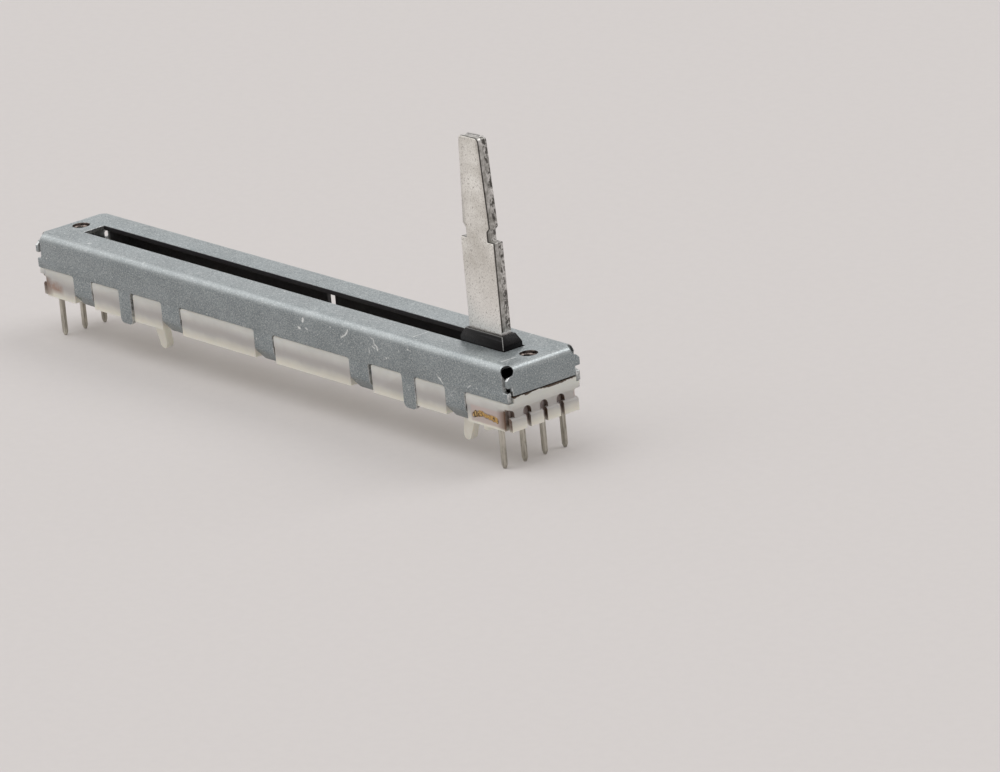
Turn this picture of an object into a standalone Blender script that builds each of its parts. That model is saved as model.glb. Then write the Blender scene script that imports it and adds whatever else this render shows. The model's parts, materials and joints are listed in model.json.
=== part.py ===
# Slide potentiometer for a circuit board: 60 mm of travel, a folded sheet case over a moulded base,
# and a flat steel lever on a carriage that runs under the slot.
# X runs along the slot, Y across it and Z up. The origin is the middle of the base's underside,
# where it sits on the board. The carriage stands at the +X end of its travel.

import math

import bmesh
import bpy
from mathutils import Matrix, Vector

MM = 0.001

# Slot and travel
TRAVEL = 60.0 * MM
SLOT_WIDTH = 2.6 * MM
STOP_GAP = 0.2 * MM
SLOT_END_MARGIN = 4.1 * MM
PLINTH_LENGTH = 6.4 * MM

# Folded case
BODY_WIDTH = 9.0 * MM
BODY_HEIGHT = 6.5 * MM
SHEET = 0.5 * MM
FOLD_RADIUS = 0.65 * MM
FOLD_STEPS = 5
WINDOW_SHARE = 0.454
WINDOW_CORNER = 0.3 * MM
END_WINDOW = 6.35 * MM
OUTER_WINDOW = 4.65 * MM
INNER_WINDOW = 5.15 * MM
WIDE_LEG = 2.95 * MM
NARROW_LEG = 1.9 * MM
LEG_SHIFT = -0.4 * MM
NARROW_LEG_DROP = 0.45 * MM
LEG_CORNER = 0.5 * MM
CLINCH_HEIGHT = 1.25 * MM
CLINCH_ANGLE = math.radians(41)
CLINCH_RADIUS = 0.7 * MM
CLINCH_LENGTH = 1.45 * MM
FOOT_HEIGHT = 1.0 * MM
FOOT_SETBACK = 0.15 * MM
WALL_SETBACK = 0.13 * MM
FLAP_GAP = 0.4 * MM
FOOT_FILLET = 0.25 * MM
FOOT_CORNER = 0.15 * MM
LOBE_GAP = 0.53 * MM
LOBE_CORNER = 0.12 * MM
LOBE_SLANT = 0.62 * MM
LOBE_THINNING = 0.15 * MM
RELIEF_RADIUS = 0.6 * MM
SCREW_HOLE_RADIUS = 0.9 * MM
SCREW_HOLE_MARGIN = 2.0 * MM
COLLAR_WALL = 0.4 * MM
COLLAR_DROP = 0.6 * MM
SLIT_WIDTH = 1.25 * MM
SLIT_ABOVE_WINDOW = 0.45 * MM
SLIT_BELOW_TOP = 0.4 * MM

# Moulded base
FACE_SETBACK = 0.1 * MM
FIT = 0.05 * MM
WINDOW_PLAY = 0.05 * MM
LOOSE_PLAY = 0.35 * MM
CLINCH_PLAY = 0.15 * MM
FLOOR = 0.9 * MM
TRAY_WALL = 0.55 * MM
TRAY_RISE = 0.25 * MM
END_WALL = 1.3 * MM
END_STEP = 0.4 * MM
BAND_DEPTH = 0.65 * MM
END_RISE_GAP = 0.1 * MM
BASE_CORNER = 0.5 * MM
COMB_EDGE = 0.36 * MM
COMB_NOTCH = 0.97 * MM
COMB_DEPTH = 0.7 * MM
COMB_TOP_GAP = 0.15 * MM
LUG_FOOT_HEIGHT = 1.15 * MM
LUG_FOOT_REACH = 0.15 * MM
LUG_FOOT_SPREAD = 0.25 * MM
LUG_FOOT_SLOPE = 0.2 * MM
BOSS_RADIUS = 0.6 * MM
BOSS_DROP = 0.8 * MM
BOSS_MARGIN = 5.1 * MM
BOSS_EDGE = 0.95 * MM
FAR_HOOK_OFFSET = 0.6 * MM
HOOK_WIDTH = 1.75 * MM
HOOK_THICKNESS = 0.8 * MM
HOOK_DROP = 2.8 * MM
HOOK_LEAN = 0.7 * MM
HOOK_TIP_RADIUS = 0.6 * MM

# Element board and its printed tracks
BOARD_THICKNESS = 0.8 * MM
BOARD_PLAY = 0.1 * MM
TRACK_THICKNESS = 0.05 * MM
TRACK_EDGE = 0.35 * MM
TRACK_GAP = 0.5 * MM
TRACK_OVERRUN = 1.6 * MM

# Terminals and the rivets that hold them to the board
PIN_EDGE = 0.75 * MM
PIN_WIDTH = 0.5 * MM
PIN_THICKNESS = 0.4 * MM
PIN_DROP = 4.1 * MM
PIN_POINT = 0.4 * MM
PIN_POINT_SHARE = 0.55
PIN_MARGIN = 2.5 * MM
PIN_PLAY = 0.15 * MM
NEAR_PINS = 4
FAR_PINS = 3
TAG_THICKNESS = 0.3 * MM
TAG_SPACE = 0.3 * MM
TAG_GAP = 0.1 * MM
RIVET_INSET = 0.85 * MM
RIVET_RADIUS = 0.35 * MM
RIVET_BORE = 0.2 * MM
RIVET_HEAD_RADIUS = 0.55 * MM
RIVET_HEAD = 0.12 * MM
RIVET_PLAY = 0.05 * MM
RIVET_SEGMENTS = 16

# Carriage, wipers and lever
PLINTH_PLAY = 0.1 * MM
PLINTH_RISE = 1.25 * MM
PLINTH_EDGE = 0.45 * MM
PLINTH_TOP_LENGTH = 5.5 * MM
PLINTH_TOP_WIDTH = 1.7 * MM
SHOE_LENGTH = 11.0 * MM
SHOE_SETBACK = 0.95 * MM
SHOE_CORNER = 0.8 * MM
BLOCK_LENGTH = 7.8 * MM
CARRIAGE_LIFT = 0.85 * MM
RUNNING_GAP = 0.15 * MM
SIDE_GAP = 0.3 * MM
RUNNER_LENGTH = 1.2 * MM
LEVER_THICKNESS = 1.2 * MM
LEVER_WIDTH = 4.87 * MM
LEVER_NECK_WIDTH = 3.1 * MM
LEVER_TIP_FOOT_WIDTH = 3.9 * MM
LEVER_TIP_WIDTH = 2.85 * MM
LEVER_SHANK = 9.15 * MM
LEVER_NECK = 1.0 * MM
LEVER_NECK_BEVEL = 0.4 * MM
LEVER_TIP = 8.8 * MM
LEVER_TIP_CORNER = 0.45 * MM
LEVER_SEAT = 0.75 * MM
LEVER_FIT = 0.05 * MM
WIPER_SHEET = 0.12 * MM
WIPER_PLATE_LENGTH = 2.4 * MM
WIPER_PLATE_START = -3.6 * MM
WIPER_FINGERS = 3
WIPER_FINGER_SHARE = 0.7
WIPER_FINGER_LENGTH = 2.6 * MM
WIPER_CONTACT_GAP = 0.05 * MM
WIPER_CONTACT_SHARE = 0.75
WIPER_STEPS = 8
PEG_RADIUS = 0.4 * MM
PEG_PLAY = 0.1 * MM
PEG_LENGTH = 0.3 * MM
ROUND_SEGMENTS = 24

# Sizes that follow from those above
SLOT_LENGTH = TRAVEL + PLINTH_LENGTH + 2 * STOP_GAP
HALF_LENGTH = SLOT_LENGTH / 2 + SLOT_END_MARGIN
HALF_WIDTH = BODY_WIDTH / 2
REST_X = TRAVEL / 2
WALL_INSIDE = HALF_WIDTH - SHEET
TOP_INSIDE = BODY_HEIGHT - SHEET
WINDOW_TOP = BODY_HEIGHT * WINDOW_SHARE
TRAY_HEIGHT = WINDOW_TOP + TRAY_RISE
BAND_BOTTOM = WINDOW_TOP - BAND_DEPTH
BASE_FACE = HALF_WIDTH - FACE_SETBACK
BASE_CORE = WALL_INSIDE - FIT
TRAY_INSIDE = BASE_CORE - TRAY_WALL
END_FACE = HALF_LENGTH - END_STEP
END_INSIDE = HALF_LENGTH - END_WALL
BOARD_TOP = FLOOR + BOARD_THICKNESS
BOARD_SIDE = TRAY_INSIDE - BOARD_PLAY
TRACK_TOP = BOARD_TOP + TRACK_THICKNESS
TRACK_WIDTH = (2 * (BOARD_SIDE - TRACK_EDGE) - 3 * TRACK_GAP) / 4
TRACK_PITCH = TRACK_WIDTH + TRACK_GAP
TAG_WIDTH = TRACK_PITCH - TAG_SPACE
PIN_PITCH = (BODY_WIDTH - 2 * PIN_EDGE) / (NEAR_PINS - 1)
COMB_PITCH = (HALF_WIDTH - COMB_EDGE) / 2
PIN_X = HALF_LENGTH - PIN_MARGIN
TRACK_END = TRAVEL / 2 + TRACK_OVERRUN
RIVET_X = TRACK_END + TAG_GAP + RIVET_INSET
BOARD_END = RIVET_X + RIVET_HEAD_RADIUS + BOARD_PLAY
CARRIAGE_BOTTOM = TRACK_TOP + CARRIAGE_LIFT
CARRIAGE_TOP = TOP_INSIDE - RUNNING_GAP
SHOE_TOP = CARRIAGE_TOP - SHOE_SETBACK
PLINTH_TOP = BODY_HEIGHT + PLINTH_RISE
LEVER_BOTTOM = CARRIAGE_BOTTOM + LEVER_SEAT


def clear_scene():
    for item in list(bpy.data.objects):
        bpy.data.objects.remove(item, do_unlink=True)


def material(name, colour, metallic, roughness):
    made = bpy.data.materials.new(name)
    made.use_nodes = True
    shader = made.node_tree.nodes["Principled BSDF"]
    shader.inputs["Base Color"].default_value = (*colour, 1.0)
    shader.inputs["Metallic"].default_value = metallic
    shader.inputs["Roughness"].default_value = roughness
    return made


def arc(centre, radius, start, end, steps):
    """Points on an arc, from the start angle to the end angle, both in degrees."""
    points = []
    for step in range(steps + 1):
        angle = math.radians(start + (end - start) * step / steps)
        points.append((centre[0] + radius * math.cos(angle), centre[1] + radius * math.sin(angle)))
    return points


def in_space(point, axis, along):
    """A point of an outline put in space, where the outline is drawn square to the axis."""
    u, v = point
    return {"X": (along, u, v), "Y": (u, along, v), "Z": (u, v, along)}[axis]


def add_prism(mesh, outline, axis, low, high):
    """Adds a closed prism with the given outline, from low to high along the axis."""
    corners = [mesh.verts.new(in_space(point, axis, low)) for point in outline]
    base = mesh.faces.new(corners)
    raised = bmesh.ops.extrude_face_region(mesh, geom=[base])["geom"]
    reach = Vector(in_space((0, 0), axis, high - low))
    bmesh.ops.translate(mesh, verts=[v for v in raised if isinstance(v, bmesh.types.BMVert)], vec=reach)


def rectangle(u_low, u_high, v_low, v_high):
    return [(u_low, v_low), (u_high, v_low), (u_high, v_high), (u_low, v_high)]


def rounded_rectangle(half_u, half_v, radius, steps=4):
    points = []
    for quarter, (u, v) in enumerate(((1, 1), (-1, 1), (-1, -1), (1, -1))):
        centre = (u * (half_u - radius), v * (half_v - radius))
        points += arc(centre, radius, 90 * quarter, 90 * quarter + 90, steps)
    return points


def circle(centre, radius, segments=ROUND_SEGMENTS):
    return arc(centre, radius, 0, 360, segments)[:-1]


def finish_mesh(mesh, name, surface=None, smooth=False):
    bmesh.ops.recalc_face_normals(mesh, faces=mesh.faces)
    data = bpy.data.meshes.new(name)
    mesh.to_mesh(data)
    mesh.free()
    if smooth:
        data.shade_smooth()
        data.set_sharp_from_angle(angle=math.radians(35))
    if surface:
        data.materials.append(surface)
    made = bpy.data.objects.new(name, data)
    bpy.context.scene.collection.objects.link(made)
    return made


def solid(name, surface, prisms, smooth=False):
    """One object from a list of prisms, each (outline, axis, low, high)."""
    mesh = bmesh.new()
    for outline, axis, low, high in prisms:
        add_prism(mesh, outline, axis, low, high)
    return finish_mesh(mesh, name, surface, smooth)


def guide(name, prisms):
    """A helper that is cut from a piece or joined to it, and isn't part of the object."""
    made = solid(name, None, prisms)
    made.hide_render = True
    made.display_type = "WIRE"
    return made


def combine(piece, helper, operation):
    change = piece.modifiers.new(helper.name, "BOOLEAN")
    change.operation = operation
    change.solver = "EXACT"
    change.object = helper
    helper.parent = piece.parent


def cut(piece, name, prisms):
    combine(piece, guide(name, prisms), "DIFFERENCE")


def join(piece, name, prisms):
    combine(piece, guide(name, prisms), "UNION")


def both_ends(low, high):
    """A stretch along X and its mirror image."""
    return (low, high), (-high, -low)


def wide_legs():
    """The stretches of X that the clinched legs take."""
    outer = HALF_LENGTH - END_WINDOW
    inner = outer - WIDE_LEG - OUTER_WINDOW - NARROW_LEG - INNER_WINDOW
    legs = [(-WIDE_LEG / 2, WIDE_LEG / 2)]
    legs += [*both_ends(inner - WIDE_LEG, inner), *both_ends(outer - WIDE_LEG, outer)]
    return [(low + LEG_SHIFT, high + LEG_SHIFT) for low, high in legs]


def narrow_legs():
    outer = HALF_LENGTH - END_WINDOW - WIDE_LEG - OUTER_WINDOW
    return [(low + LEG_SHIFT, high + LEG_SHIFT) for low, high in both_ends(outer - NARROW_LEG, outer)]


def windows():
    """The openings between the legs, from -X to +X. The first and last run out at the ends."""
    legs = sorted(wide_legs() + narrow_legs())
    starts = [-HALF_LENGTH] + [leg[1] for leg in legs]
    ends = [leg[0] for leg in legs] + [HALF_LENGTH]
    return list(zip(starts, ends))


def wall_outline():
    """The side wall with its windows and legs, as an outline in X and Z."""
    wall_end = HALF_LENGTH - FOLD_RADIUS - WALL_SETBACK
    foot_end = HALF_LENGTH - FOOT_SETBACK
    foot_top = WINDOW_TOP + FOOT_HEIGHT
    fold_foot = BODY_HEIGHT - FOLD_RADIUS
    r, c = WINDOW_CORNER, LEG_CORNER
    foot = [(wall_end + WALL_SETBACK, fold_foot), (wall_end, fold_foot - 2 * WALL_SETBACK)]
    foot += arc((wall_end + FOOT_FILLET, foot_top + FOOT_FILLET), FOOT_FILLET, 180, 270, 3)
    foot += arc((foot_end - FOOT_CORNER, foot_top - FOOT_CORNER), FOOT_CORNER, 90, 0, 3)
    foot.append((foot_end, WINDOW_TOP))
    points = [(-x, z) for x, z in foot]
    narrow = narrow_legs()
    for low, high in sorted(wide_legs() + narrow):
        points += arc((low - r, WINDOW_TOP - r), r, 90, 0, 3)
        if (low, high) in narrow:
            bottom = -NARROW_LEG_DROP
            points += arc((low + c, bottom + c), c, 180, 270, 4)
            points += arc((high - c, bottom + c), c, 270, 360, 4)
        else:
            points += [(low, CLINCH_HEIGHT), (high, CLINCH_HEIGHT)]
        points += arc((high + r, WINDOW_TOP - r), r, 180, 90, 3)
    return points + foot[::-1]


def lobe_bottom():
    return WINDOW_TOP + FOOT_HEIGHT + LOBE_GAP


def flap_outline():
    """The end flap with its ear lobes, as an outline in Y and Z."""
    half = HALF_WIDTH - FOLD_RADIUS
    top = BODY_HEIGHT - FOLD_RADIUS
    bottom = TRAY_HEIGHT + FLAP_GAP
    lobe = lobe_bottom()
    c = LOBE_CORNER
    right = [(half, bottom)] + arc((half + c, lobe - c), c, 180, 90, 3)
    right += arc((HALF_WIDTH - c, lobe + c), c, 270, 360, 3)
    right += [(HALF_WIDTH, top - LOBE_SLANT), (half, top)]
    return right + [(-y, z) for y, z in reversed(right)]


def clinch_profile():
    """Where the outer skin of a clinched leg runs, as (Y, Z) from the wall's face inwards."""
    points = []
    for step in range(1, 4):
        angle = CLINCH_ANGLE * step / 3
        inwards = CLINCH_RADIUS * (1 - math.cos(angle))
        points.append((HALF_WIDTH - inwards, CLINCH_HEIGHT - CLINCH_RADIUS * math.sin(angle)))
    y, z = points[-1]
    points.append((y - CLINCH_LENGTH * math.sin(CLINCH_ANGLE), z - CLINCH_LENGTH * math.cos(CLINCH_ANGLE)))
    return points


def build_case_cover(surface):
    """One sheet, folded down on four sides: its outer skin is drawn and then given its thickness."""
    mesh = bmesh.new()
    found = {}

    def corner(x, y, z):
        key = (round(x * 1e7), round(y * 1e7), round(z * 1e7))
        if key not in found:
            found[key] = mesh.verts.new((x, y, z))
        return found[key]

    def face(points):
        mesh.faces.new([corner(*point) for point in points])

    x1, y1 = HALF_LENGTH - FOLD_RADIUS, HALF_WIDTH - FOLD_RADIUS
    x0, y0 = SLOT_LENGTH / 2, SLOT_WIDTH / 2
    outer = [(x1, y1), (-x1, y1), (-x1, -y1), (x1, -y1)]
    inner = [(x0, y0), (-x0, y0), (-x0, -y0), (x0, -y0)]
    for side in range(4):
        after = (side + 1) % 4
        ring = [outer[side], outer[after], inner[after], inner[side]]
        face([(x, y, BODY_HEIGHT) for x, y in ring])

    fold = arc((0, 0), FOLD_RADIUS, 90, 0, FOLD_STEPS)
    for side in (-1, 1):
        for (a, up_a), (b, up_b) in zip(fold, fold[1:]):
            za, zb = BODY_HEIGHT - FOLD_RADIUS + up_a, BODY_HEIGHT - FOLD_RADIUS + up_b
            ya, yb = side * (y1 + a), side * (y1 + b)
            face([(-x1, ya, za), (x1, ya, za), (x1, yb, zb), (-x1, yb, zb)])
            xa, xb = side * (x1 + a), side * (x1 + b)
            face([(xa, -y1, za), (xa, y1, za), (xb, y1, zb), (xb, -y1, zb)])
        face([(x, side * HALF_WIDTH, z) for x, z in wall_outline()])
        face([(side * HALF_LENGTH, y, z) for y, z in flap_outline()])
        for low, high in wide_legs():
            above = (HALF_WIDTH, CLINCH_HEIGHT)
            for below in clinch_profile():
                (ya, za), (yb, zb) = above, below
                ends = [(low, ya, za), (high, ya, za), (high, yb, zb), (low, yb, zb)]
                face([(x, side * y, z) for x, y, z in ends])
                above = below

    cover = finish_mesh(mesh, "case_cover", surface, smooth=True)
    thickness = cover.modifiers.new("sheet", "SOLIDIFY")
    thickness.thickness = SHEET
    thickness.offset = -1.0
    thickness.use_even_offset = True

    hole_x = HALF_LENGTH - SCREW_HOLE_MARGIN
    collars = []
    holes = []
    for x in (-hole_x, hole_x):
        collar = circle((x, 0), SCREW_HOLE_RADIUS + COLLAR_WALL)
        collars.append((collar, "Z", TOP_INSIDE - COLLAR_DROP, TOP_INSIDE + SHEET / 2))
        holes.append((circle((x, 0), SCREW_HOLE_RADIUS), "Z", 0, 2 * BODY_HEIGHT))
    join(cover, "collar_guide", collars)
    cut(cover, "screw_hole_guide", holes)

    slit_bottom, slit_top = WINDOW_TOP + SLIT_ABOVE_WINDOW, TOP_INSIDE - SLIT_BELOW_TOP
    slit = rectangle(-SLIT_WIDTH / 2, SLIT_WIDTH / 2, slit_bottom, slit_top)
    cut(cover, "slit_guide", [(slit, "Y", WALL_INSIDE - SHEET, HALF_WIDTH + SHEET)])

    thin_end = HALF_LENGTH - SHEET + LOBE_THINNING
    thinned = []
    for low, high in both_ends(HALF_LENGTH - FOLD_RADIUS + FIT, thin_end):
        for y_low, y_high in both_ends(WALL_INSIDE - FIT, HALF_WIDTH + SHEET):
            outline = rectangle(low, high, y_low, y_high)
            thinned.append((outline, "Z", lobe_bottom() - LOBE_CORNER - FIT, BODY_HEIGHT))
    cut(cover, "lobe_thinning_guide", thinned)

    reach = 4 * RELIEF_RADIUS
    relief = bmesh.new()
    for x in (-1, 1):
        for y in (-1, 1):
            tilt = Vector((x, y, 1)).to_track_quat("Z", "Y").to_matrix().to_4x4()
            place = Matrix.Translation((x * HALF_LENGTH, y * HALF_WIDTH, BODY_HEIGHT)) @ tilt
            bmesh.ops.create_cone(relief, cap_ends=True, segments=ROUND_SEGMENTS, radius1=RELIEF_RADIUS,
                                  radius2=RELIEF_RADIUS, depth=2 * reach, matrix=place)
    helper = finish_mesh(relief, "relief_guide")
    helper.hide_render = True
    helper.display_type = "WIRE"
    combine(cover, helper, "DIFFERENCE")
    return cover


def leg_tip_inside():
    """How far from the middle plane the inner edge of a clinched leg's tip lies."""
    return clinch_profile()[-1][0] - SHEET * math.cos(CLINCH_ANGLE)


def base_stretches():
    """The moulded blocks that fill the windows, as stretches of X. Two of them stand off a leg."""
    stretches = []
    for number, (low, high) in enumerate(windows()[1:-1]):
        loose = number in (1, 4)
        stretches.append((low + (LOOSE_PLAY if loose else WINDOW_PLAY), high - WINDOW_PLAY))
    return stretches


def window_block(low, high):
    """A block for one window, whose upper corners are as round as the window's."""
    r, top = WINDOW_CORNER, WINDOW_TOP - WINDOW_PLAY
    outline = [(low, 0), (high, 0)]
    outline += arc((high - r, top - r), r, 0, 90, 3) + arc((low + r, top - r), r, 90, 180, 3)
    return outline, "Y", -BASE_FACE, BASE_FACE


def end_block_start(side):
    """How far from the middle the block at one end begins."""
    return (windows()[-1][0] if side > 0 else -windows()[0][1]) + WINDOW_PLAY


def end_block_outline(side):
    """The end block seen from above, with its rounded outer corners."""
    inner = end_block_start(side) + WINDOW_CORNER
    c = BASE_CORNER
    points = [(inner, -BASE_FACE)]
    points += arc((END_FACE - c, -BASE_FACE + c), c, 270, 360, 4)
    points += arc((END_FACE - c, BASE_FACE - c), c, 0, 90, 4)
    points.append((inner, BASE_FACE))
    return [(side * x, y) for x, y in points]


def comb_notches(side):
    """Notches with round tops in the end of the base, down to its underside."""
    half = COMB_NOTCH / 2
    spring = BAND_BOTTOM - COMB_TOP_GAP - half
    low, high = sorted((side * (END_FACE - COMB_DEPTH), side * (HALF_LENGTH + END_STEP)))
    made = []
    for place in range(-2, 3):
        y = place * COMB_PITCH
        outline = [(y - half, -FLOOR), (y + half, -FLOOR)] + arc((y, spring), half, 0, 180, 6)
        made.append((outline, "X", low, high))
    return made


def lug_feet(side):
    """The thicker lower part of each lug between the notches."""
    face, back = side * (END_FACE + LUG_FOOT_REACH), side * (END_FACE - COMB_DEPTH / 2)
    slope_x, slope_z = side * (END_FACE - FIT), LUG_FOOT_HEIGHT + LUG_FOOT_SLOPE
    outline = [(back, 0), (face, 0), (face, LUG_FOOT_HEIGHT), (slope_x, slope_z), (back, slope_z)]
    half = (COMB_PITCH - COMB_NOTCH) / 2 + LUG_FOOT_SPREAD
    inner, corner = COMB_PITCH / 2, BASE_FACE - BASE_CORNER / 2
    stretches = [(-corner, half - 3 * inner), (3 * inner - half, corner)]
    stretches += [(-inner - half, half - inner), (inner - half, inner + half)]
    return [(outline, "Y", low, high) for low, high in stretches]


def clinch_clearance():
    """What the clinched legs need of the base's lower edges, as a (Y, Z) outline on the +Y side."""
    (start_y, start_z), (tip_y, tip_z) = clinch_profile()[-2:]
    lift = (SHEET + FIT) / math.sin(CLINCH_ANGLE)
    slope = (start_y - tip_y) / (start_z - tip_z)
    top = start_z + lift + (HALF_WIDTH - start_y) / slope
    bottom_y = tip_y - slope * (tip_z + lift + FLOOR)
    return [(HALF_WIDTH, top), (bottom_y, -FLOOR), (HALF_WIDTH, -FLOOR)]


def build_base_moulding(surface):
    """The white tray that carries the board, with blocks that fill the case's windows."""
    core_end = END_FACE - COMB_DEPTH / 2
    core = rectangle(-core_end, core_end, -BASE_CORE, BASE_CORE)
    base = solid("base_moulding", surface, [(core, "Z", 0, TRAY_HEIGHT)])
    block_top = WINDOW_TOP - WINDOW_PLAY
    blocks = [window_block(low, high) for low, high in base_stretches()]
    for side in (-1, 1):
        start = end_block_start(side)
        blocks.append(window_block(*sorted((side * start, side * (start + 1.5 * BASE_CORNER)))))
    join(base, "window_block_guide", blocks)
    join(base, "end_block_guide", [(end_block_outline(side), "Z", 0, block_top) for side in (-1, 1)])

    band_half = HALF_WIDTH - FOLD_RADIUS
    bands = []
    rises = []
    for side in (-1, 1):
        low, high = sorted((side * (END_INSIDE - FIT), side * HALF_LENGTH))
        centre = (low + high) / 2
        band = [(centre + x, y) for x, y in rounded_rectangle((high - low) / 2, HALF_WIDTH, BASE_CORNER)]
        bands.append((band, "Z", BAND_BOTTOM, block_top))
        rise_top = TRAY_HEIGHT + FLAP_GAP - END_RISE_GAP
        rises.append((rectangle(low, high, -band_half, band_half), "Z", BAND_BOTTOM, rise_top))
    join(base, "end_band_guide", bands)
    join(base, "end_rise_guide", rises)

    hollow = (rectangle(-END_INSIDE, END_INSIDE, -TRAY_INSIDE, TRAY_INSIDE), "Z", BOARD_TOP, 2 * BODY_HEIGHT)
    seat_end = BOARD_END + BOARD_PLAY
    seat = (rectangle(-seat_end, seat_end, -TRAY_INSIDE, TRAY_INSIDE), "Z", FLOOR, BODY_HEIGHT)
    cut(base, "hollow_guide", [hollow])
    cut(base, "board_seat_guide", [seat])

    tag_room = (NEAR_PINS - 1) / 2 * PIN_PITCH + PIN_THICKNESS / 2 + FIT
    pockets = []
    for low, high in both_ends(TRACK_END + TAG_GAP, END_INSIDE):
        pockets.append((rectangle(low, high, -tag_room, tag_room), "Z", BOARD_TOP, 2 * BODY_HEIGHT))
    cut(base, "tag_pocket_guide", pockets)

    half_x, half_y = PIN_WIDTH / 2 + PIN_PLAY, PIN_THICKNESS / 2 + PIN_PLAY
    holes = []
    for side, count in ((1, NEAR_PINS), (-1, FAR_PINS)):
        for number in range(count):
            x, y = side * PIN_X, pin_y(number)
            outline = rectangle(x - half_x, x + half_x, y - half_y, y + half_y)
            holes.append((outline, "Z", -FLOOR, BODY_HEIGHT))
    cut(base, "pin_hole_guide", holes)

    room = RIVET_HEAD_RADIUS + BOARD_PLAY
    wells = []
    for low, high in both_ends(RIVET_X - room, RIVET_X + room):
        outline = rectangle(low, high, track_y(0) - room, track_y(NEAR_PINS - 1) + room)
        wells.append((outline, "Z", FLOOR - RIVET_HEAD - BOARD_PLAY, BOARD_TOP))
    cut(base, "rivet_well_guide", wells)

    clearance = clinch_clearance()
    mirrored = [(-y, z) for y, z in reversed(clearance)]
    wedges = []
    for low, high in wide_legs():
        for outline in (clearance, mirrored):
            wedges.append((outline, "X", low - CLINCH_PLAY, high + CLINCH_PLAY))
    cut(base, "clinch_guide", wedges)

    cut(base, "comb_guide", comb_notches(1) + comb_notches(-1))
    join(base, "lug_foot_guide", lug_feet(1) + lug_feet(-1))

    bosses = []
    boss_x, boss_y = HALF_LENGTH - BOSS_MARGIN, BASE_CORE - BOSS_EDGE
    for side in (-1, 1):
        outline = circle((side * boss_x, -side * boss_y), BOSS_RADIUS)
        bosses.append((outline, "Z", -BOSS_DROP, FLOOR / 2))
    join(base, "boss_guide", bosses)
    face = leg_tip_inside() - CLINCH_PLAY
    hooks = [(hook_outline(x), "Y", -face, -face + HOOK_THICKNESS) for x in hook_places()]
    join(base, "hook_guide", hooks)
    return base


def hook_places():
    """The near hook stands behind the last clinched leg, the far one in a window."""
    last_leg, far_window = sorted(wide_legs())[-1], windows()[2]
    return sum(last_leg) / 2, sum(far_window) / 2 - FAR_HOOK_OFFSET


def hook_outline(x):
    """A springy tongue that leans towards the middle of the base down to its round tip, in X and Z."""
    half = HOOK_WIDTH / 2
    tip = (x - math.copysign(HOOK_LEAN, x), -HOOK_DROP + HOOK_TIP_RADIUS)
    outline = [(x + half, 0), (x + half, FLOOR / 2), (x - half, FLOOR / 2), (x - half, 0)]
    return outline + arc(tip, HOOK_TIP_RADIUS, 180, 360, 6)


def pin_y(number):
    return (number - (NEAR_PINS - 1) / 2) * PIN_PITCH


def track_y(number):
    return (number - (NEAR_PINS - 1) / 2) * TRACK_PITCH


def rivet_places():
    near = [(RIVET_X, track_y(number)) for number in range(NEAR_PINS)]
    return near + [(-RIVET_X, track_y(number)) for number in range(FAR_PINS)]


def build_element_board(surface):
    outline = rectangle(-BOARD_END, BOARD_END, -BOARD_SIDE, BOARD_SIDE)
    board = solid("element_board", surface, [(outline, "Z", FLOOR, BOARD_TOP)])
    rounds = [circle(place, RIVET_RADIUS + RIVET_PLAY, RIVET_SEGMENTS) for place in rivet_places()]
    holes = [(outline, "Z", 0, BODY_HEIGHT) for outline in rounds]
    cut(board, "rivet_hole_guide", holes)
    return board


def build_tracks(carbon, silver):
    names = ("resistive_track_front", "collector_track_front", "collector_track_back", "resistive_track_back")
    for number, name in enumerate(names):
        y = track_y(number)
        outline = rectangle(-TRACK_END, TRACK_END, y - TRACK_WIDTH / 2, y + TRACK_WIDTH / 2)
        surface = carbon if name.startswith("resistive") else silver
        solid(name, surface, [(outline, "Z", BOARD_TOP, TRACK_TOP)])


def build_terminal(name, surface, side, number):
    """A tag that lies on the board's end, and the pin that goes down from it through the base."""
    x_tag, x_pin = TRACK_END + TAG_GAP, PIN_X
    y_tag, y_pin = track_y(number), pin_y(number)
    half_tag, half_pin = TAG_WIDTH / 2, PIN_THICKNESS / 2
    bend = RIVET_X + RIVET_HEAD_RADIUS
    tag = [(x_tag, y_tag - half_tag), (bend, y_tag - half_tag), (x_pin - PIN_WIDTH / 2, y_pin - half_pin)]
    tag += [(x_pin + PIN_WIDTH / 2, y_pin - half_pin), (x_pin + PIN_WIDTH / 2, y_pin + half_pin)]
    tag += [(x_pin - PIN_WIDTH / 2, y_pin + half_pin), (bend, y_tag + half_tag), (x_tag, y_tag + half_tag)]
    tag = [(side * x, y) for x, y in tag]
    terminal = solid(name, surface, [(tag, "Z", BOARD_TOP, BOARD_TOP + TAG_THICKNESS)])

    pin = bmesh.new()
    rings = []
    levels = ((-PIN_DROP, PIN_POINT_SHARE), (PIN_POINT - PIN_DROP, 1.0), (BOARD_TOP + TAG_THICKNESS / 2, 1.0))
    for z, share in levels:
        wide, thick = share * PIN_WIDTH / 2, share * half_pin
        ring = rectangle(side * x_pin - wide, side * x_pin + wide, y_pin - thick, y_pin + thick)
        rings.append([pin.verts.new((x, y, z)) for x, y in ring])
    pin.faces.new(rings[0])
    pin.faces.new(rings[-1])
    for lower, upper in zip(rings, rings[1:]):
        for a in range(4):
            b = (a + 1) % 4
            pin.faces.new((lower[a], lower[b], upper[b], upper[a]))
    helper = finish_mesh(pin, name + "_pin_guide")
    helper.hide_render = True
    helper.display_type = "WIRE"
    combine(terminal, helper, "UNION")
    eye = circle((side * RIVET_X, y_tag), RIVET_RADIUS + RIVET_PLAY, RIVET_SEGMENTS)
    cut(terminal, name + "_eye_guide", [(eye, "Z", BOARD_TOP - TAG_THICKNESS, BODY_HEIGHT)])
    return terminal


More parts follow.
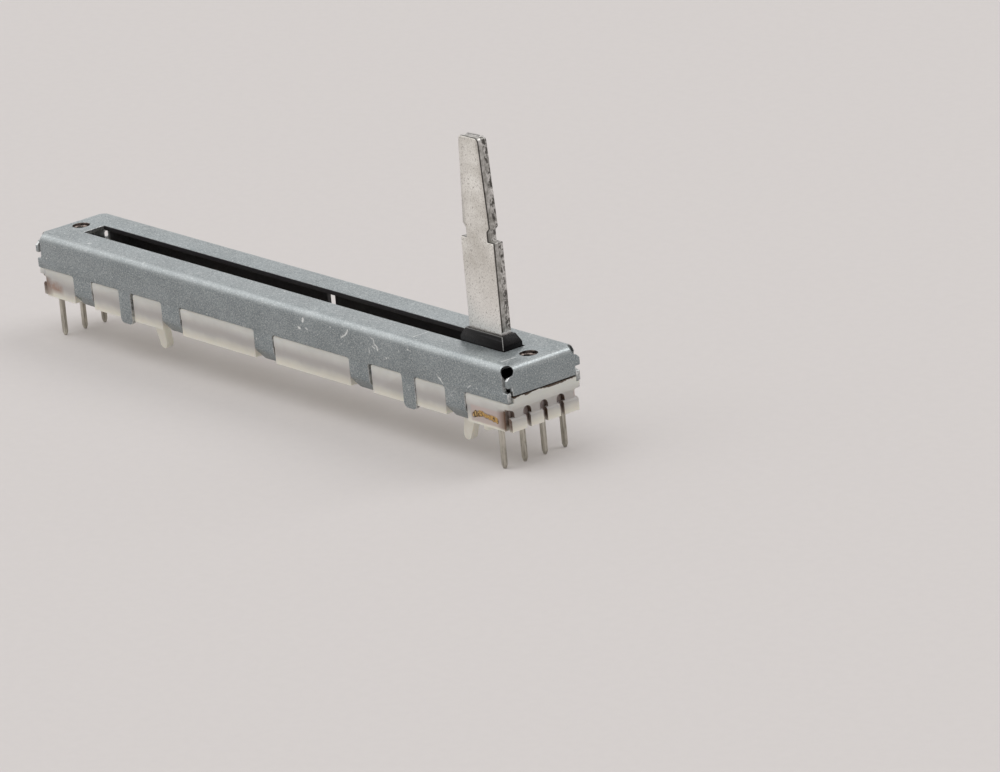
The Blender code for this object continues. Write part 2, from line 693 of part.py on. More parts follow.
def build_rivet(name, surface, place):
    """A hollow rivet, turned from its section."""
    low, high = FLOOR, BOARD_TOP + TAG_THICKNESS
    section = [
        (RIVET_BORE, low - RIVET_HEAD), (RIVET_HEAD_RADIUS, low - RIVET_HEAD / 2), (RIVET_HEAD_RADIUS, low),
        (RIVET_RADIUS, low), (RIVET_RADIUS, high), (RIVET_HEAD_RADIUS, high),
        (RIVET_HEAD_RADIUS, high + RIVET_HEAD / 2), (RIVET_BORE, high + RIVET_HEAD),
    ]
    mesh = bmesh.new()
    corners = [mesh.verts.new((r, 0, z)) for r, z in section]
    edges = [mesh.edges.new((corners[i - 1], corners[i])) for i in range(len(corners))]
    bmesh.ops.spin(mesh, geom=corners + edges, cent=(0, 0, 0), axis=(0, 0, 1), angle=math.tau,
                   steps=RIVET_SEGMENTS, use_merge=True)
    bmesh.ops.remove_doubles(mesh, verts=mesh.verts, dist=1e-6)
    rivet = finish_mesh(mesh, name, surface, smooth=True)
    rivet.location = (*place, 0)
    return rivet


def build_terminals(tin, brass):
    for end, side, count in (("near", 1, NEAR_PINS), ("far", -1, FAR_PINS)):
        for number in range(count):
            build_terminal(f"terminal_{end}_{number + 1}", tin, side, number)
            build_rivet(f"rivet_{end}_{number + 1}", brass, (side * RIVET_X, track_y(number)))


def build_carriage(surface, slider):
    """The black slider: a long shoe, a block with runners under the top, and the plinth in the slot."""
    shoe_outline = rounded_rectangle(SHOE_LENGTH / 2, TRAY_INSIDE - SIDE_GAP, SHOE_CORNER)
    carriage = solid("carriage", surface, [(shoe_outline, "Z", CARRIAGE_BOTTOM, SHOE_TOP)])
    carriage.parent = slider

    block_half = BLOCK_LENGTH / 2
    block_side = WALL_INSIDE - SIDE_GAP
    block_bottom = TRAY_HEIGHT + SIDE_GAP
    runner = RUNNER_LENGTH
    block = (rectangle(-block_half, block_half, -block_side, block_side), "Z", block_bottom,
             CARRIAGE_TOP - RUNNING_GAP)
    join(carriage, "block_guide", [block])
    inner_y = SLOT_WIDTH / 2 + 2 * RUNNING_GAP
    runners = []
    for low, high in both_ends(block_half - runner, block_half):
        for y_low, y_high in both_ends(inner_y, block_side - RUNNING_GAP):
            runners.append((rectangle(low, high, y_low, y_high), "Z", SHOE_TOP, CARRIAGE_TOP))
    join(carriage, "top_runner_guide", runners)
    side_runners = []
    for low, high in both_ends(block_half - runner, block_half):
        outline = rectangle(low, high, block_bottom + RUNNING_GAP, SHOE_TOP)
        side_runners.append((outline, "Y", -WALL_INSIDE + RUNNING_GAP, WALL_INSIDE - RUNNING_GAP))
    join(carriage, "side_runner_guide", side_runners)

    half_slot = SLOT_WIDTH / 2 - PLINTH_PLAY
    plinth = bmesh.new()
    levels = (
        (block_bottom, PLINTH_LENGTH / 2, half_slot),
        (BODY_HEIGHT + PLINTH_EDGE, PLINTH_LENGTH / 2, half_slot),
        (PLINTH_TOP, PLINTH_TOP_LENGTH / 2, PLINTH_TOP_WIDTH / 2),
    )
    rings = []
    for z, half_x, half_y in levels:
        rings.append([plinth.verts.new((x, y, z)) for x, y in rectangle(-half_x, half_x, -half_y, half_y)])
    plinth.faces.new(rings[0])
    plinth.faces.new(rings[-1])
    for lower, upper in zip(rings, rings[1:]):
        for a in range(4):
            b = (a + 1) % 4
            plinth.faces.new((lower[a], lower[b], upper[b], upper[a]))
    helper = finish_mesh(plinth, "plinth_guide")
    helper.hide_render = True
    helper.display_type = "WIRE"
    combine(carriage, helper, "UNION")

    half_x, half_y = LEVER_WIDTH / 2 + LEVER_FIT, LEVER_THICKNESS / 2 + LEVER_FIT
    pocket = (rectangle(-half_x, half_x, -half_y, half_y), "Z", LEVER_BOTTOM - LEVER_FIT, 2 * BODY_HEIGHT)
    cut(carriage, "lever_slot_guide", [pocket])

    peg_bottom, peg_top = CARRIAGE_BOTTOM - PEG_LENGTH, CARRIAGE_BOTTOM + PEG_LENGTH
    pegs = [(circle(place, PEG_RADIUS, RIVET_SEGMENTS), "Z", peg_bottom, peg_top) for place in peg_places()]
    join(carriage, "peg_guide", pegs)
    return carriage


def peg_places():
    x = WIPER_PLATE_START + WIPER_PLATE_LENGTH / 2
    return [(x, side * (track_y(2) + track_y(3)) / 2) for side in (-1, 1)]


def build_wiper(name, surface, slider, side):
    """A bronze brush whose fingers bridge one resistive track and its collector."""
    mesh = bmesh.new()
    plate_z = CARRIAGE_BOTTOM
    contact_z = TRACK_TOP + WIPER_CONTACT_GAP + WIPER_SHEET
    start = WIPER_PLATE_START + WIPER_PLATE_LENGTH
    drop = plate_z - contact_z
    pitch = TRACK_WIDTH / WIPER_FINGERS
    edges = []
    for y_track in (track_y(2), track_y(3)):
        for finger in range(WIPER_FINGERS):
            y = side * (y_track + (finger - (WIPER_FINGERS - 1) / 2) * pitch)
            edges.append((y - pitch * WIPER_FINGER_SHARE / 2, y + pitch * WIPER_FINGER_SHARE / 2))
    edges.sort()
    plate_low, plate_high = edges[0][0], edges[-1][1]
    back = WIPER_PLATE_START
    outline = [mesh.verts.new((back, plate_high, plate_z)), mesh.verts.new((back, plate_low, plate_z))]
    for low, high in edges:
        roots = [mesh.verts.new((start, y, plate_z)) for y in (low, high)]
        outline += roots
        above = roots
        for step in range(1, WIPER_STEPS + 1):
            share = step / WIPER_STEPS
            x = start + WIPER_FINGER_LENGTH * share
            z = plate_z - drop * math.sin(math.pi / 2 * share / WIPER_CONTACT_SHARE)
            below = [mesh.verts.new((x, y, z)) for y in (low, high)]
            mesh.faces.new((above[0], above[1], below[1], below[0]))
            above = below
    mesh.faces.new(outline)
    for vertex in mesh.verts:
        vertex.co.z -= WIPER_SHEET
    bmesh.ops.recalc_face_normals(mesh, faces=mesh.faces)
    mesh.normal_update()
    mesh.faces.ensure_lookup_table()
    if mesh.faces[0].normal.z < 0:
        bmesh.ops.reverse_faces(mesh, faces=mesh.faces)
    data = bpy.data.meshes.new(name)
    mesh.to_mesh(data)
    mesh.free()
    data.materials.append(surface)
    wiper = bpy.data.objects.new(name, data)
    bpy.context.scene.collection.objects.link(wiper)
    wiper.parent = slider
    thickness = wiper.modifiers.new("sheet", "SOLIDIFY")
    thickness.thickness = WIPER_SHEET
    thickness.offset = 1.0
    rounds = [circle(place, PEG_RADIUS + PEG_PLAY, RIVET_SEGMENTS) for place in peg_places()]
    eyes = [(outline, "Z", 0, BODY_HEIGHT) for outline in rounds]
    cut(wiper, name + "_eye_guide", eyes)
    return wiper


def build_lever(surface, slider):
    """The stamped steel blade: a wide shank, a neck that is left to hold a knob, and a tapered tip."""
    shoulder = PLINTH_TOP + LEVER_SHANK
    neck_top = shoulder + LEVER_NECK
    tip_foot = neck_top + LEVER_NECK_BEVEL
    top = tip_foot + LEVER_TIP
    c = LEVER_TIP_CORNER
    right = [(LEVER_WIDTH / 2, LEVER_BOTTOM), (LEVER_WIDTH / 2, shoulder), (LEVER_NECK_WIDTH / 2, shoulder)]
    right += [(LEVER_NECK_WIDTH / 2, neck_top), (LEVER_TIP_FOOT_WIDTH / 2, tip_foot)]
    right += arc((LEVER_TIP_WIDTH / 2 - c, top - c), c, 0, 90, 4)
    outline = right + [(-x, z) for x, z in reversed(right)]
    lever = solid("lever", surface, [(outline, "Y", -LEVER_THICKNESS / 2, LEVER_THICKNESS / 2)])
    lever.parent = slider
    return lever


def main():
    clear_scene()
    zinc = material("zinc_plated_steel", (0.42, 0.45, 0.47), 1.0, 0.42)
    white = material("natural_plastic", (0.80, 0.77, 0.70), 0.0, 0.5)
    phenolic = material("phenolic_laminate", (0.30, 0.17, 0.09), 0.0, 0.6)
    carbon = material("printed_carbon", (0.02, 0.02, 0.02), 0.0, 0.7)
    silver = material("printed_silver", (0.60, 0.60, 0.58), 1.0, 0.5)
    tin = material("tinned_brass", (0.62, 0.61, 0.57), 1.0, 0.35)
    brass = material("brass", (0.70, 0.52, 0.25), 1.0, 0.35)
    black = material("black_plastic", (0.02, 0.02, 0.022), 0.0, 0.45)
    bronze = material("phosphor_bronze", (0.60, 0.38, 0.20), 1.0, 0.35)
    steel = material("lever_steel", (0.62, 0.60, 0.57), 1.0, 0.38)

    slider = bpy.data.objects.new("slider", None)
    slider.location = (REST_X, 0, 0)
    bpy.context.scene.collection.objects.link(slider)

    build_case_cover(zinc)
    build_base_moulding(white)
    build_element_board(phenolic)
    build_tracks(carbon, silver)
    build_terminals(tin, brass)
    build_carriage(black, slider)
    build_wiper("wiper_front", bronze, slider, -1)
    build_wiper("wiper_back", bronze, slider, 1)
    build_lever(steel, slider)


main()
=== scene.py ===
import bpy
import json
import math
import random
from mathutils import Matrix, Vector


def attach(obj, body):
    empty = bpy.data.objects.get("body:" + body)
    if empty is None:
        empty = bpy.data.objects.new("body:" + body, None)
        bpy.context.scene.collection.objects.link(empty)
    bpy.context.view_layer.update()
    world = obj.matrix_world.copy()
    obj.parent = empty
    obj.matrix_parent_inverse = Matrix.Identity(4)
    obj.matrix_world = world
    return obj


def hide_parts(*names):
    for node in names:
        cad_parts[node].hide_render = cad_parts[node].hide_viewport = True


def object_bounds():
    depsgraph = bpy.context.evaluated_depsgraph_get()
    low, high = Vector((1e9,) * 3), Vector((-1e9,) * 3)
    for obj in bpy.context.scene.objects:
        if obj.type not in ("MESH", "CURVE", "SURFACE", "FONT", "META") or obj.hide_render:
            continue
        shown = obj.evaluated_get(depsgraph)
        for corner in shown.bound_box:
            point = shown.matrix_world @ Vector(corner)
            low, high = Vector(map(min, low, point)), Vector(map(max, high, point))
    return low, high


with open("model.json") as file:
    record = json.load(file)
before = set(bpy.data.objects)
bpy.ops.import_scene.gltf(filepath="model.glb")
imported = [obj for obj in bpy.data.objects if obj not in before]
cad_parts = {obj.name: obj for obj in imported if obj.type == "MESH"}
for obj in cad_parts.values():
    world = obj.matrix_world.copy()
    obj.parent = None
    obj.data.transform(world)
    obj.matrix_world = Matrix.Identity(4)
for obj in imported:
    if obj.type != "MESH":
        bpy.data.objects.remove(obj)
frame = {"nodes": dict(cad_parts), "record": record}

mm = 0.001
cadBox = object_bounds()
random.seed(7)
record = frame["record"]
slotOf = {entry["node"]: entry["material_slot"] for entry in record["subparts"]}
bodyOf = {node: body for body, members in record["behaviour"]["bodies"].items() for node in members}
print("frame loaded:", len(frame["nodes"]), "nodes")


# selecting, shaping and handing over a piece

shaping = {
    "samePoint": 2e-7,        # metres within which two points are one
    "sameFace": 0.4,          # degrees within which two faces are one
    "roundFrom": 28,          # degrees from which an edge is rounded
    "roundSteps": 2,
    "smoothUpTo": 35,         # degrees up to which the shading runs on over an edge
}


def deselectAll():
    if bpy.context.object and bpy.context.object.mode != "OBJECT":
        bpy.ops.object.mode_set(mode="OBJECT")
    bpy.ops.object.select_all(action="DESELECT")


def pick(piece):
    deselectAll()
    bpy.context.view_layer.objects.active = piece
    piece.select_set(True)


def applyAll(piece):
    pick(piece)
    for change in list(piece.modifiers):
        bpy.ops.object.modifier_apply(modifier=change.name)


def bakePlace(piece):
    # the object goes back to the origin and its place into its mesh
    pick(piece)
    bpy.ops.object.transform_apply(location=True, rotation=True, scale=True)


def editFaces(piece, wanted):
    # opens the piece for editing with only the wanted faces selected
    pick(piece)
    bpy.ops.object.mode_set(mode="EDIT")
    bpy.ops.mesh.select_mode(type="FACE")
    bpy.ops.mesh.select_all(action="DESELECT")
    bpy.ops.object.mode_set(mode="OBJECT")
    for face in piece.data.polygons:
        face.select = wanted(face)
    bpy.ops.object.mode_set(mode="EDIT")


def smoothShade(degrees):
    bpy.ops.object.shade_smooth_by_angle(angle=math.radians(degrees))


def roundEdges(piece, width):
    # rounds the edges and keeps every point inside the solid's own box
    low = [min(v.co[i] for v in piece.data.vertices) for i in range(3)]
    high = [max(v.co[i] for v in piece.data.vertices) for i in range(3)]
    soften = piece.modifiers.new("edges", "BEVEL")
    soften.width = width
    soften.segments = shaping["roundSteps"]
    soften.limit_method = "ANGLE"
    soften.angle_limit = math.radians(shaping["roundFrom"])
    soften.use_clamp_overlap = False
    soften.harden_normals = False
    applyAll(piece)
    for vertex in piece.data.vertices:
        vertex.co = [min(max(vertex.co[i], low[i]), high[i]) for i in range(3)]
    smoothShade(shaping["smoothUpTo"])


def copyOfNode(node, name):
    # a closed, merged copy of the solid, with its flat faces whole again
    piece = bpy.data.objects.new(name, frame["nodes"][node].data.copy())
    bpy.context.scene.collection.objects.link(piece)
    piece.data.materials.clear()
    pick(piece)
    bpy.ops.object.mode_set(mode="EDIT")
    bpy.ops.mesh.select_all(action="SELECT")
    bpy.ops.mesh.remove_doubles(threshold=shaping["samePoint"])
    bpy.ops.mesh.dissolve_limited(angle_limit=math.radians(shaping["sameFace"]))
    bpy.ops.object.mode_set(mode="OBJECT")
    return piece


def placedCopy(piece, name, shift):
    # the same shape again at another place, with a mesh of its own
    pick(piece)
    bpy.ops.object.duplicate()
    again = bpy.context.object
    again.name = name
    again.location = shift
    bakePlace(again)
    return again


def handOver(piece, node, takesPlace=True):
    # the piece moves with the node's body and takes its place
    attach(piece, bodyOf[node])
    if takesPlace:
        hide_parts(node)


def paintFaces(piece, materials, choose):
    # choose(face) says which of the materials a face takes
    piece.data.materials.clear()
    for material in materials:
        piece.data.materials.append(material)
    for face in piece.data.polygons:
        face.material_index = choose(face)


# short ways to build a finish out of shader nodes; "desk" holds what one material needs

usualRun = (0.3, 0.7)         # nearly all of a noise lies between these
middleRun = (0.35, 0.65)      # and its two halves meet between these
lineCore = 0.35               # share of a scratch's width that is full


def newFinish(name):
    material = bpy.data.materials.new(name)
    material.use_nodes = True
    tree = material.node_tree
    desk = {"material": material, "tree": tree, "shader": tree.nodes["Principled BSDF"]}
    desk["place"] = tree.nodes.new("ShaderNodeTexCoord").outputs["Object"]
    return desk


def feed(desk, socket, value):
    if isinstance(value, (int, float)):
        socket.default_value = value
    elif isinstance(value, (tuple, list)):
        socket.default_value = (*value, 1.0) if len(socket.default_value) == 4 else value
    else:
        desk["tree"].links.new(value, socket)


def noise(desk, scale, detail, roughness, vector=None, distortion=0.0):
    node = desk["tree"].nodes.new("ShaderNodeTexNoise")
    settings = {"Scale": scale, "Detail": detail, "Roughness": roughness, "Distortion": distortion}
    for label, value in settings.items():
        node.inputs[label].default_value = value
    feed(desk, node.inputs["Vector"], vector or desk["place"])
    return node.outputs["Fac"]


def drawnOut(desk, scales, detail, roughness, distortion=0.0, turn=(0, 0, 0)):
    # a noise with a scale of its own along each axis
    node = desk["tree"].nodes.new("ShaderNodeMapping")
    node.inputs["Scale"].default_value = scales
    node.inputs["Rotation"].default_value = turn
    feed(desk, node.inputs["Vector"], desk["place"])
    return noise(desk, 1, detail, roughness, node.outputs["Vector"], distortion)


def remap(desk, value, low, high, start=0.0, end=1.0):
    node = desk["tree"].nodes.new("ShaderNodeMapRange")
    for label, number in (("From Min", low), ("From Max", high), ("To Min", start), ("To Max", end)):
        node.inputs[label].default_value = number
    feed(desk, node.inputs["Value"], value)
    return node.outputs["Result"]


def blend(desk, share, a, b):
    node = desk["tree"].nodes.new("ShaderNodeMix")
    node.data_type = "RGBA"
    for socket, value in ((node.inputs[0], share), (node.inputs[6], a), (node.inputs[7], b)):
        feed(desk, socket, value)
    return node.outputs[2]


def calc(desk, operation, a, b=0.0):
    node = desk["tree"].nodes.new("ShaderNodeMath")
    node.operation = operation
    feed(desk, node.inputs[0], a)
    feed(desk, node.inputs[1], b)
    return node.outputs[0]


def vectorCalc(desk, operation, a, b=(0, 0, 0), scale=None):
    node = desk["tree"].nodes.new("ShaderNodeVectorMath")
    node.operation = operation
    feed(desk, node.inputs[0], a)
    feed(desk, node.inputs[1], b)
    if scale is not None:
        feed(desk, node.inputs["Scale"], scale)
    return node.outputs["Value"] if operation in ("DOT_PRODUCT", "LENGTH") else node.outputs["Vector"]


def add(desk, a, b):
    return calc(desk, "ADD", a, b)


def larger(desk, a, b):
    return calc(desk, "MAXIMUM", a, b)


def unsigned(desk, value):
    return calc(desk, "ABSOLUTE", value)


def times(desk, *shares):
    product = shares[0]
    for share in shares[1:]:
        product = calc(desk, "MULTIPLY", product, share)
    return product


def axis(desk, letter):
    node = desk["tree"].nodes.new("ShaderNodeSeparateXYZ")
    feed(desk, node.inputs[0], desk["place"])
    return node.outputs[letter]


def spread(desk, pattern, start, end):
    # a noise's usual run becomes a run from start to end
    return remap(desk, pattern, *usualRun, start, end)


def shows(desk, pattern, low, high, amount=1.0):
    # nothing where the pattern is at low, the amount where it is at high
    return remap(desk, pattern, low, high, 0.0, amount)


def ramp(desk, value, start, end, amount=1.0):
    # the same between two places in millimetres
    return remap(desk, value, start * mm, end * mm, 0.0, amount)


def within(desk, value, low, high, soft):
    # 1 between two places in millimetres, falling to 0 over the soft distance outside
    rise = ramp(desk, value, low - soft, low)
    fall = remap(desk, value, high * mm, (high + soft) * mm, 1.0, 0.0)
    return times(desk, rise, fall)


def patchy(desk, pattern, dark, light):
    return blend(desk, remap(desk, pattern, *middleRun), dark, light)


def layOver(desk, colour, tone, share, amount=1.0):
    return blend(desk, share if amount == 1.0 else times(desk, share, amount), colour, tone)


def scratch(desk, start, end, width):
    # a fine line between two points of the surface, all in millimetres
    first, run = Vector(start) * mm, (Vector(end) - Vector(start)) * mm
    fromStart = vectorCalc(desk, "SUBTRACT", desk["place"], tuple(first))
    along = vectorCalc(desk, "DOT_PRODUCT", fromStart, tuple(run / run.length_squared))
    along = remap(desk, along, 0.0, 1.0)
    nearest = vectorCalc(desk, "SCALE", tuple(run), scale=along)
    away = vectorCalc(desk, "LENGTH", vectorCalc(desk, "SUBTRACT", fromStart, nearest))
    return remap(desk, away, lineCore * width * mm, width * mm, 1.0, 0.0)


def bump(desk, height, strength, depth):
    # depth in millimetres
    node = desk["tree"].nodes.new("ShaderNodeBump")
    node.inputs["Strength"].default_value = strength
    node.inputs["Distance"].default_value = depth * mm
    feed(desk, node.inputs["Height"], height)
    desk["tree"].links.new(node.outputs["Normal"], desk["shader"].inputs["Normal"])


def finish(desk, values):
    for label, value in values.items():
        feed(desk, desk["shader"].inputs[label], value)
    return desk["material"]


# In the dictionaries below, a pattern is its scale (more is finer), detail and roughness. One that is
# drawn out has a scale for each axis, and may end with a distortion and a turn. A tone's "Shows" says
# at which level of its pattern it begins and is full, and how much of it there is. Places are given in
# millimetres, as from, to and softness, or as where a tone begins and is full, and how much of it.

# the folded case: bluish zinc plating with cloudy patches, white speckle, handling marks and a painted
# highlight along the folds; the inside and the tapped holes are painted dark as shade

caseLook = {
    "edgeRound": 0.05 * mm,
    "skin": {
        "dark": (0.262, 0.300, 0.313), "light": (0.332, 0.372, 0.386), "clouds": (240, 3, 0.55),
        "speckle": (0.60, 0.63, 0.63), "speckles": (7600, 2, 0.7), "speckleShows": (0.54, 0.72, 1.0),
        "crystals": (3400, 3, 0.65), "crystalShows": (0.52, 0.72, 0.28),
        "pits": (0.15, 0.17, 0.18), "pitShows": (0.46, 0.30, 0.9),
        "nick": (0.86, 0.88, 0.87),
        "marks": ((1500, 400, 420), 2, 0.5, 0.6), "markShows": (0.745, 0.77, 0.7),
        "specks": (2100, 1, 0.5), "speckShows": (0.765, 0.80, 0.7),
        "wearBroken": (0.30, 0.46, 0.55, 1.0),      # the speckle breaks up the worn lines
        # the next two places are where a painted highlight runs along the long folds and the end folds
        "sideFold": (10.33, 10.60),                 # |y| + z across a long fold
        "endFold": (43.33, 43.60),                  # |x| + z across an end fold
        "foldSheen": (0.22, 0.40),
        "grain": ((900, 5000, 5000), 3, 0.6),
        "metallic": 0.80, "rough": (0.41, 0.50), "grainRough": 0.05, "wearRough": 0.2,
        "speckleRelief": 0.6, "wearDepth": 0.8, "bump": (0.5, 0.015),
    },
    "cutEdge": {
        "dark": (0.30, 0.32, 0.32), "light": (0.70, 0.72, 0.72),
        "patches": (1700, 3, 0.6), "patchShows": (0.40, 0.58),
        "glint": (0.86, 0.88, 0.87), "glintShows": (0.55, 0.75, 0.6),
        "lines": ((5200, 5200, 5200), 3, 0.6),
        "metallic": 0.85, "rough": (0.25, 0.38), "bump": (0.4, 0.015),
    },
    "inside": {
        # the inside's dark tones are a painted shade where little light gets in
        "dark": (0.027, 0.023, 0.027), "light": (0.034, 0.033, 0.034), "clouds": (500, 3, 0.55),
        "plated": (36.2, 36.6),                     # |x| from which the inside is bare plating
        "fine": (4200, 2, 0.55), "metallic": (0.3, 0.8), "rough": (0.4, 0.6), "bump": (0.2, 0.01),
    },
    "tappedHole": {
        # the tapped holes' dark tone is a painted shade inside the bores
        "dark": (0.035, 0.027, 0.024), "light": (0.24, 0.20, 0.18),
        "mottle": (2600, 3, 0.65), "mottleShows": (0.36, 0.62),
        "fine": (6500, 2, 0.55), "metallic": 0.85, "rough": (0.24, 0.40), "bump": (0.3, 0.01),
    },
    "scratches": [            # start, end, width in mm and how bright
        ((35.36, -3.25, 6.5), (35.42, -2.4, 6.5), 0.10, 0.8),
        ((35.42, -2.4, 6.5), (35.46, -1.65, 6.5), 0.08, 0.8),
        ((6.36, -4.5, 5.38), (6.45, -4.5, 5.64), 0.20, 0.95),
        ((5.64, -4.5, 4.60), (5.82, -4.5, 4.55), 0.19, 0.9),
        ((6.78, -4.5, 4.75), (6.98, -4.5, 4.68), 0.15, 0.6),
        ((13.45, -4.5, 5.84), (13.30, -4.5, 5.55), 0.11, 0.85),
        ((13.30, -4.5, 5.55), (12.95, -4.5, 5.20), 0.12, 0.85),
        ((12.95, -4.5, 5.20), (12.30, -4.5, 4.88), 0.10, 0.8),
        ((16.95, -4.5, 5.74), (17.40, -4.5, 5.62), 0.08, 0.7),
        ((17.40, -4.5, 5.62), (17.45, -4.5, 5.22), 0.08, 0.8),
        ((17.45, -4.5, 5.22), (17.85, -4.5, 4.95), 0.09, 0.8),
        ((17.85, -4.5, 4.95), (17.92, -4.5, 4.62), 0.13, 0.95),
        ((17.15, -4.5, 4.90), (17.50, -4.5, 4.72), 0.10, 0.7),
        ((17.30, -4.5, 5.05), (17.70, -4.5, 5.02), 0.07, 0.5),
        ((19.10, -4.5, 4.10), (19.20, -4.5, 4.06), 0.12, 0.8),
        ((19.45, -4.5, 4.20), (19.52, -4.5, 4.12), 0.10, 0.7),
        ((10.70, -4.5, 5.60), (10.76, -4.5, 5.60), 0.12, 0.7),
        ((12.20, -4.5, 4.20), (12.28, -4.5, 4.18), 0.10, 0.6),
        ((23.20, -4.5, 2.66), (23.42, -4.5, 2.84), 0.10, 0.7),
        ((26.85, -4.5, 3.95), (27.00, -4.5, 3.60), 0.08, 0.6),
        ((27.10, -4.5, 3.66), (27.34, -4.5, 3.48), 0.14, 0.9),
        ((27.40, -4.5, 3.44), (27.62, -4.5, 3.18), 0.10, 0.7),
        ((31.40, -4.5, 3.49), (31.89, -4.5, 3.79), 0.07, 0.6),
        ((27.9, -4.5, 1.60), (29.6, -4.5, 3.1), 0.05, 0.25),
        ((28.4, -4.5, 2.60), (29.7, -4.5, 1.35), 0.05, 0.25),
        ((29.1, -4.5, 2.9), (30.3, -4.5, 1.9), 0.05, 0.22),
    ],
    "faces": {                # where the sheet's faces lie
        "top": 6.5 * mm, "side": 4.5 * mm, "end": 37.5 * mm, "sheet": 0.5 * mm, "near": 0.02 * mm,
        "slotSide": 1.6 * mm, "slotFoot": 5.9 * mm, "slotEnd": 33 * mm, "slitFoot": 3.2 * mm,
        "flapInside": (36.95 * mm, 37.2 * mm), "hole": 1.1 * mm,
        "clinchTop": 1.4 * mm, "foldFoot": 5.7 * mm,
        "flat": 0.99, "level": 0.02, "upright": 0.3, "downward": -0.7,       # of a face's normal
    },
}


def zincSheet():
    desk = newFinish("zincSheet")
    look = caseLook["skin"]
    clouds = noise(desk, *look["clouds"])
    speckle = noise(desk, *look["speckles"])
    crystals = noise(desk, *look["crystals"])
    grain = drawnOut(desk, *look["grain"])
    colour = patchy(desk, clouds, look["dark"], look["light"])
    colour = layOver(desk, colour, look["speckle"], shows(desk, crystals, *look["crystalShows"]))
    colour = layOver(desk, colour, look["speckle"], shows(desk, speckle, *look["speckleShows"]))
    colour = layOver(desk, colour, look["pits"], shows(desk, speckle, *look["pitShows"]))
    x, y, z = (axis(desk, letter) for letter in "XYZ")
    # a painted highlight along the long folds and the end folds, in the speckle's pale tone and broken
    # up by the clouds
    sideFold = ramp(desk, add(desk, unsigned(desk, y), z), *look["sideFold"])
    endFold = ramp(desk, add(desk, unsigned(desk, x), z), *look["endFold"])
    paintedSheen = times(desk, larger(desk, sideFold, endFold), spread(desk, clouds, *look["foldSheen"]))
    colour = layOver(desk, colour, look["speckle"], paintedSheen)
    marks = drawnOut(desk, *look["marks"])
    specks = noise(desk, *look["specks"])
    wear = shows(desk, marks, *look["markShows"])
    wear = larger(desk, wear, shows(desk, specks, *look["speckShows"]))
    for start, end, width, bright in caseLook["scratches"]:
        wear = larger(desk, wear, times(desk, scratch(desk, start, end, width), bright))
    wear = times(desk, wear, remap(desk, speckle, *look["wearBroken"]))
    colour = layOver(desk, colour, look["nick"], wear)
    grainRough = spread(desk, grain, -look["grainRough"], look["grainRough"])
    rough = add(desk, spread(desk, clouds, *look["rough"]), grainRough)
    rough = add(desk, rough, times(desk, wear, look["wearRough"]))
    relief = add(desk, times(desk, speckle, look["speckleRelief"]), grain)
    relief = calc(desk, "SUBTRACT", relief, times(desk, wear, look["wearDepth"]))
    bump(desk, relief, *look["bump"])
    return finish(desk, {"Base Color": colour, "Metallic": look["metallic"], "Roughness": rough})


def shearedZinc():
    # the sheet's cut edges: patchy dark and light metal with fine bright glint lines
    desk = newFinish("shearedZinc")
    look = caseLook["cutEdge"]
    lines = drawnOut(desk, *look["lines"])
    patches = noise(desk, *look["patches"])
    colour = layOver(desk, look["dark"], look["light"], shows(desk, patches, *look["patchShows"]))
    colour = layOver(desk, colour, look["glint"], shows(desk, lines, *look["glintShows"]))
    bump(desk, lines, *look["bump"])
    rough = spread(desk, lines, *look["rough"])
    return finish(desk, {"Base Color": colour, "Metallic": look["metallic"], "Roughness": rough})


def shadedInside():
    # the inside painted near-black as shade along the travel, with bare plating towards the ends
    desk = newFinish("shadedInside")
    look, cutEdge = caseLook["inside"], caseLook["cutEdge"]
    clouds = noise(desk, *look["clouds"])
    fine = noise(desk, *look["fine"])
    colour = patchy(desk, clouds, look["dark"], look["light"])
    ends = ramp(desk, unsigned(desk, axis(desk, "X")), *look["plated"])
    colour = blend(desk, ends, colour, patchy(desk, clouds, cutEdge["dark"], cutEdge["light"]))
    metal = remap(desk, ends, 0.0, 1.0, *look["metallic"])
    bump(desk, fine, *look["bump"])
    rough = spread(desk, fine, *look["rough"])
    return finish(desk, {"Base Color": colour, "Metallic": metal, "Roughness": rough})


def shadedThread():
    # steel in the two tapped holes, painted dark as the shade inside the bores
    desk = newFinish("shadedThread")
    look = caseLook["tappedHole"]
    mottle = noise(desk, *look["mottle"])
    fine = noise(desk, *look["fine"])
    colour = layOver(desk, look["dark"], look["light"], shows(desk, mottle, *look["mottleShows"]))
    bump(desk, fine, *look["bump"])
    rough = spread(desk, fine, *look["rough"])
    return finish(desk, {"Base Color": colour, "Metallic": look["metallic"], "Roughness": rough})


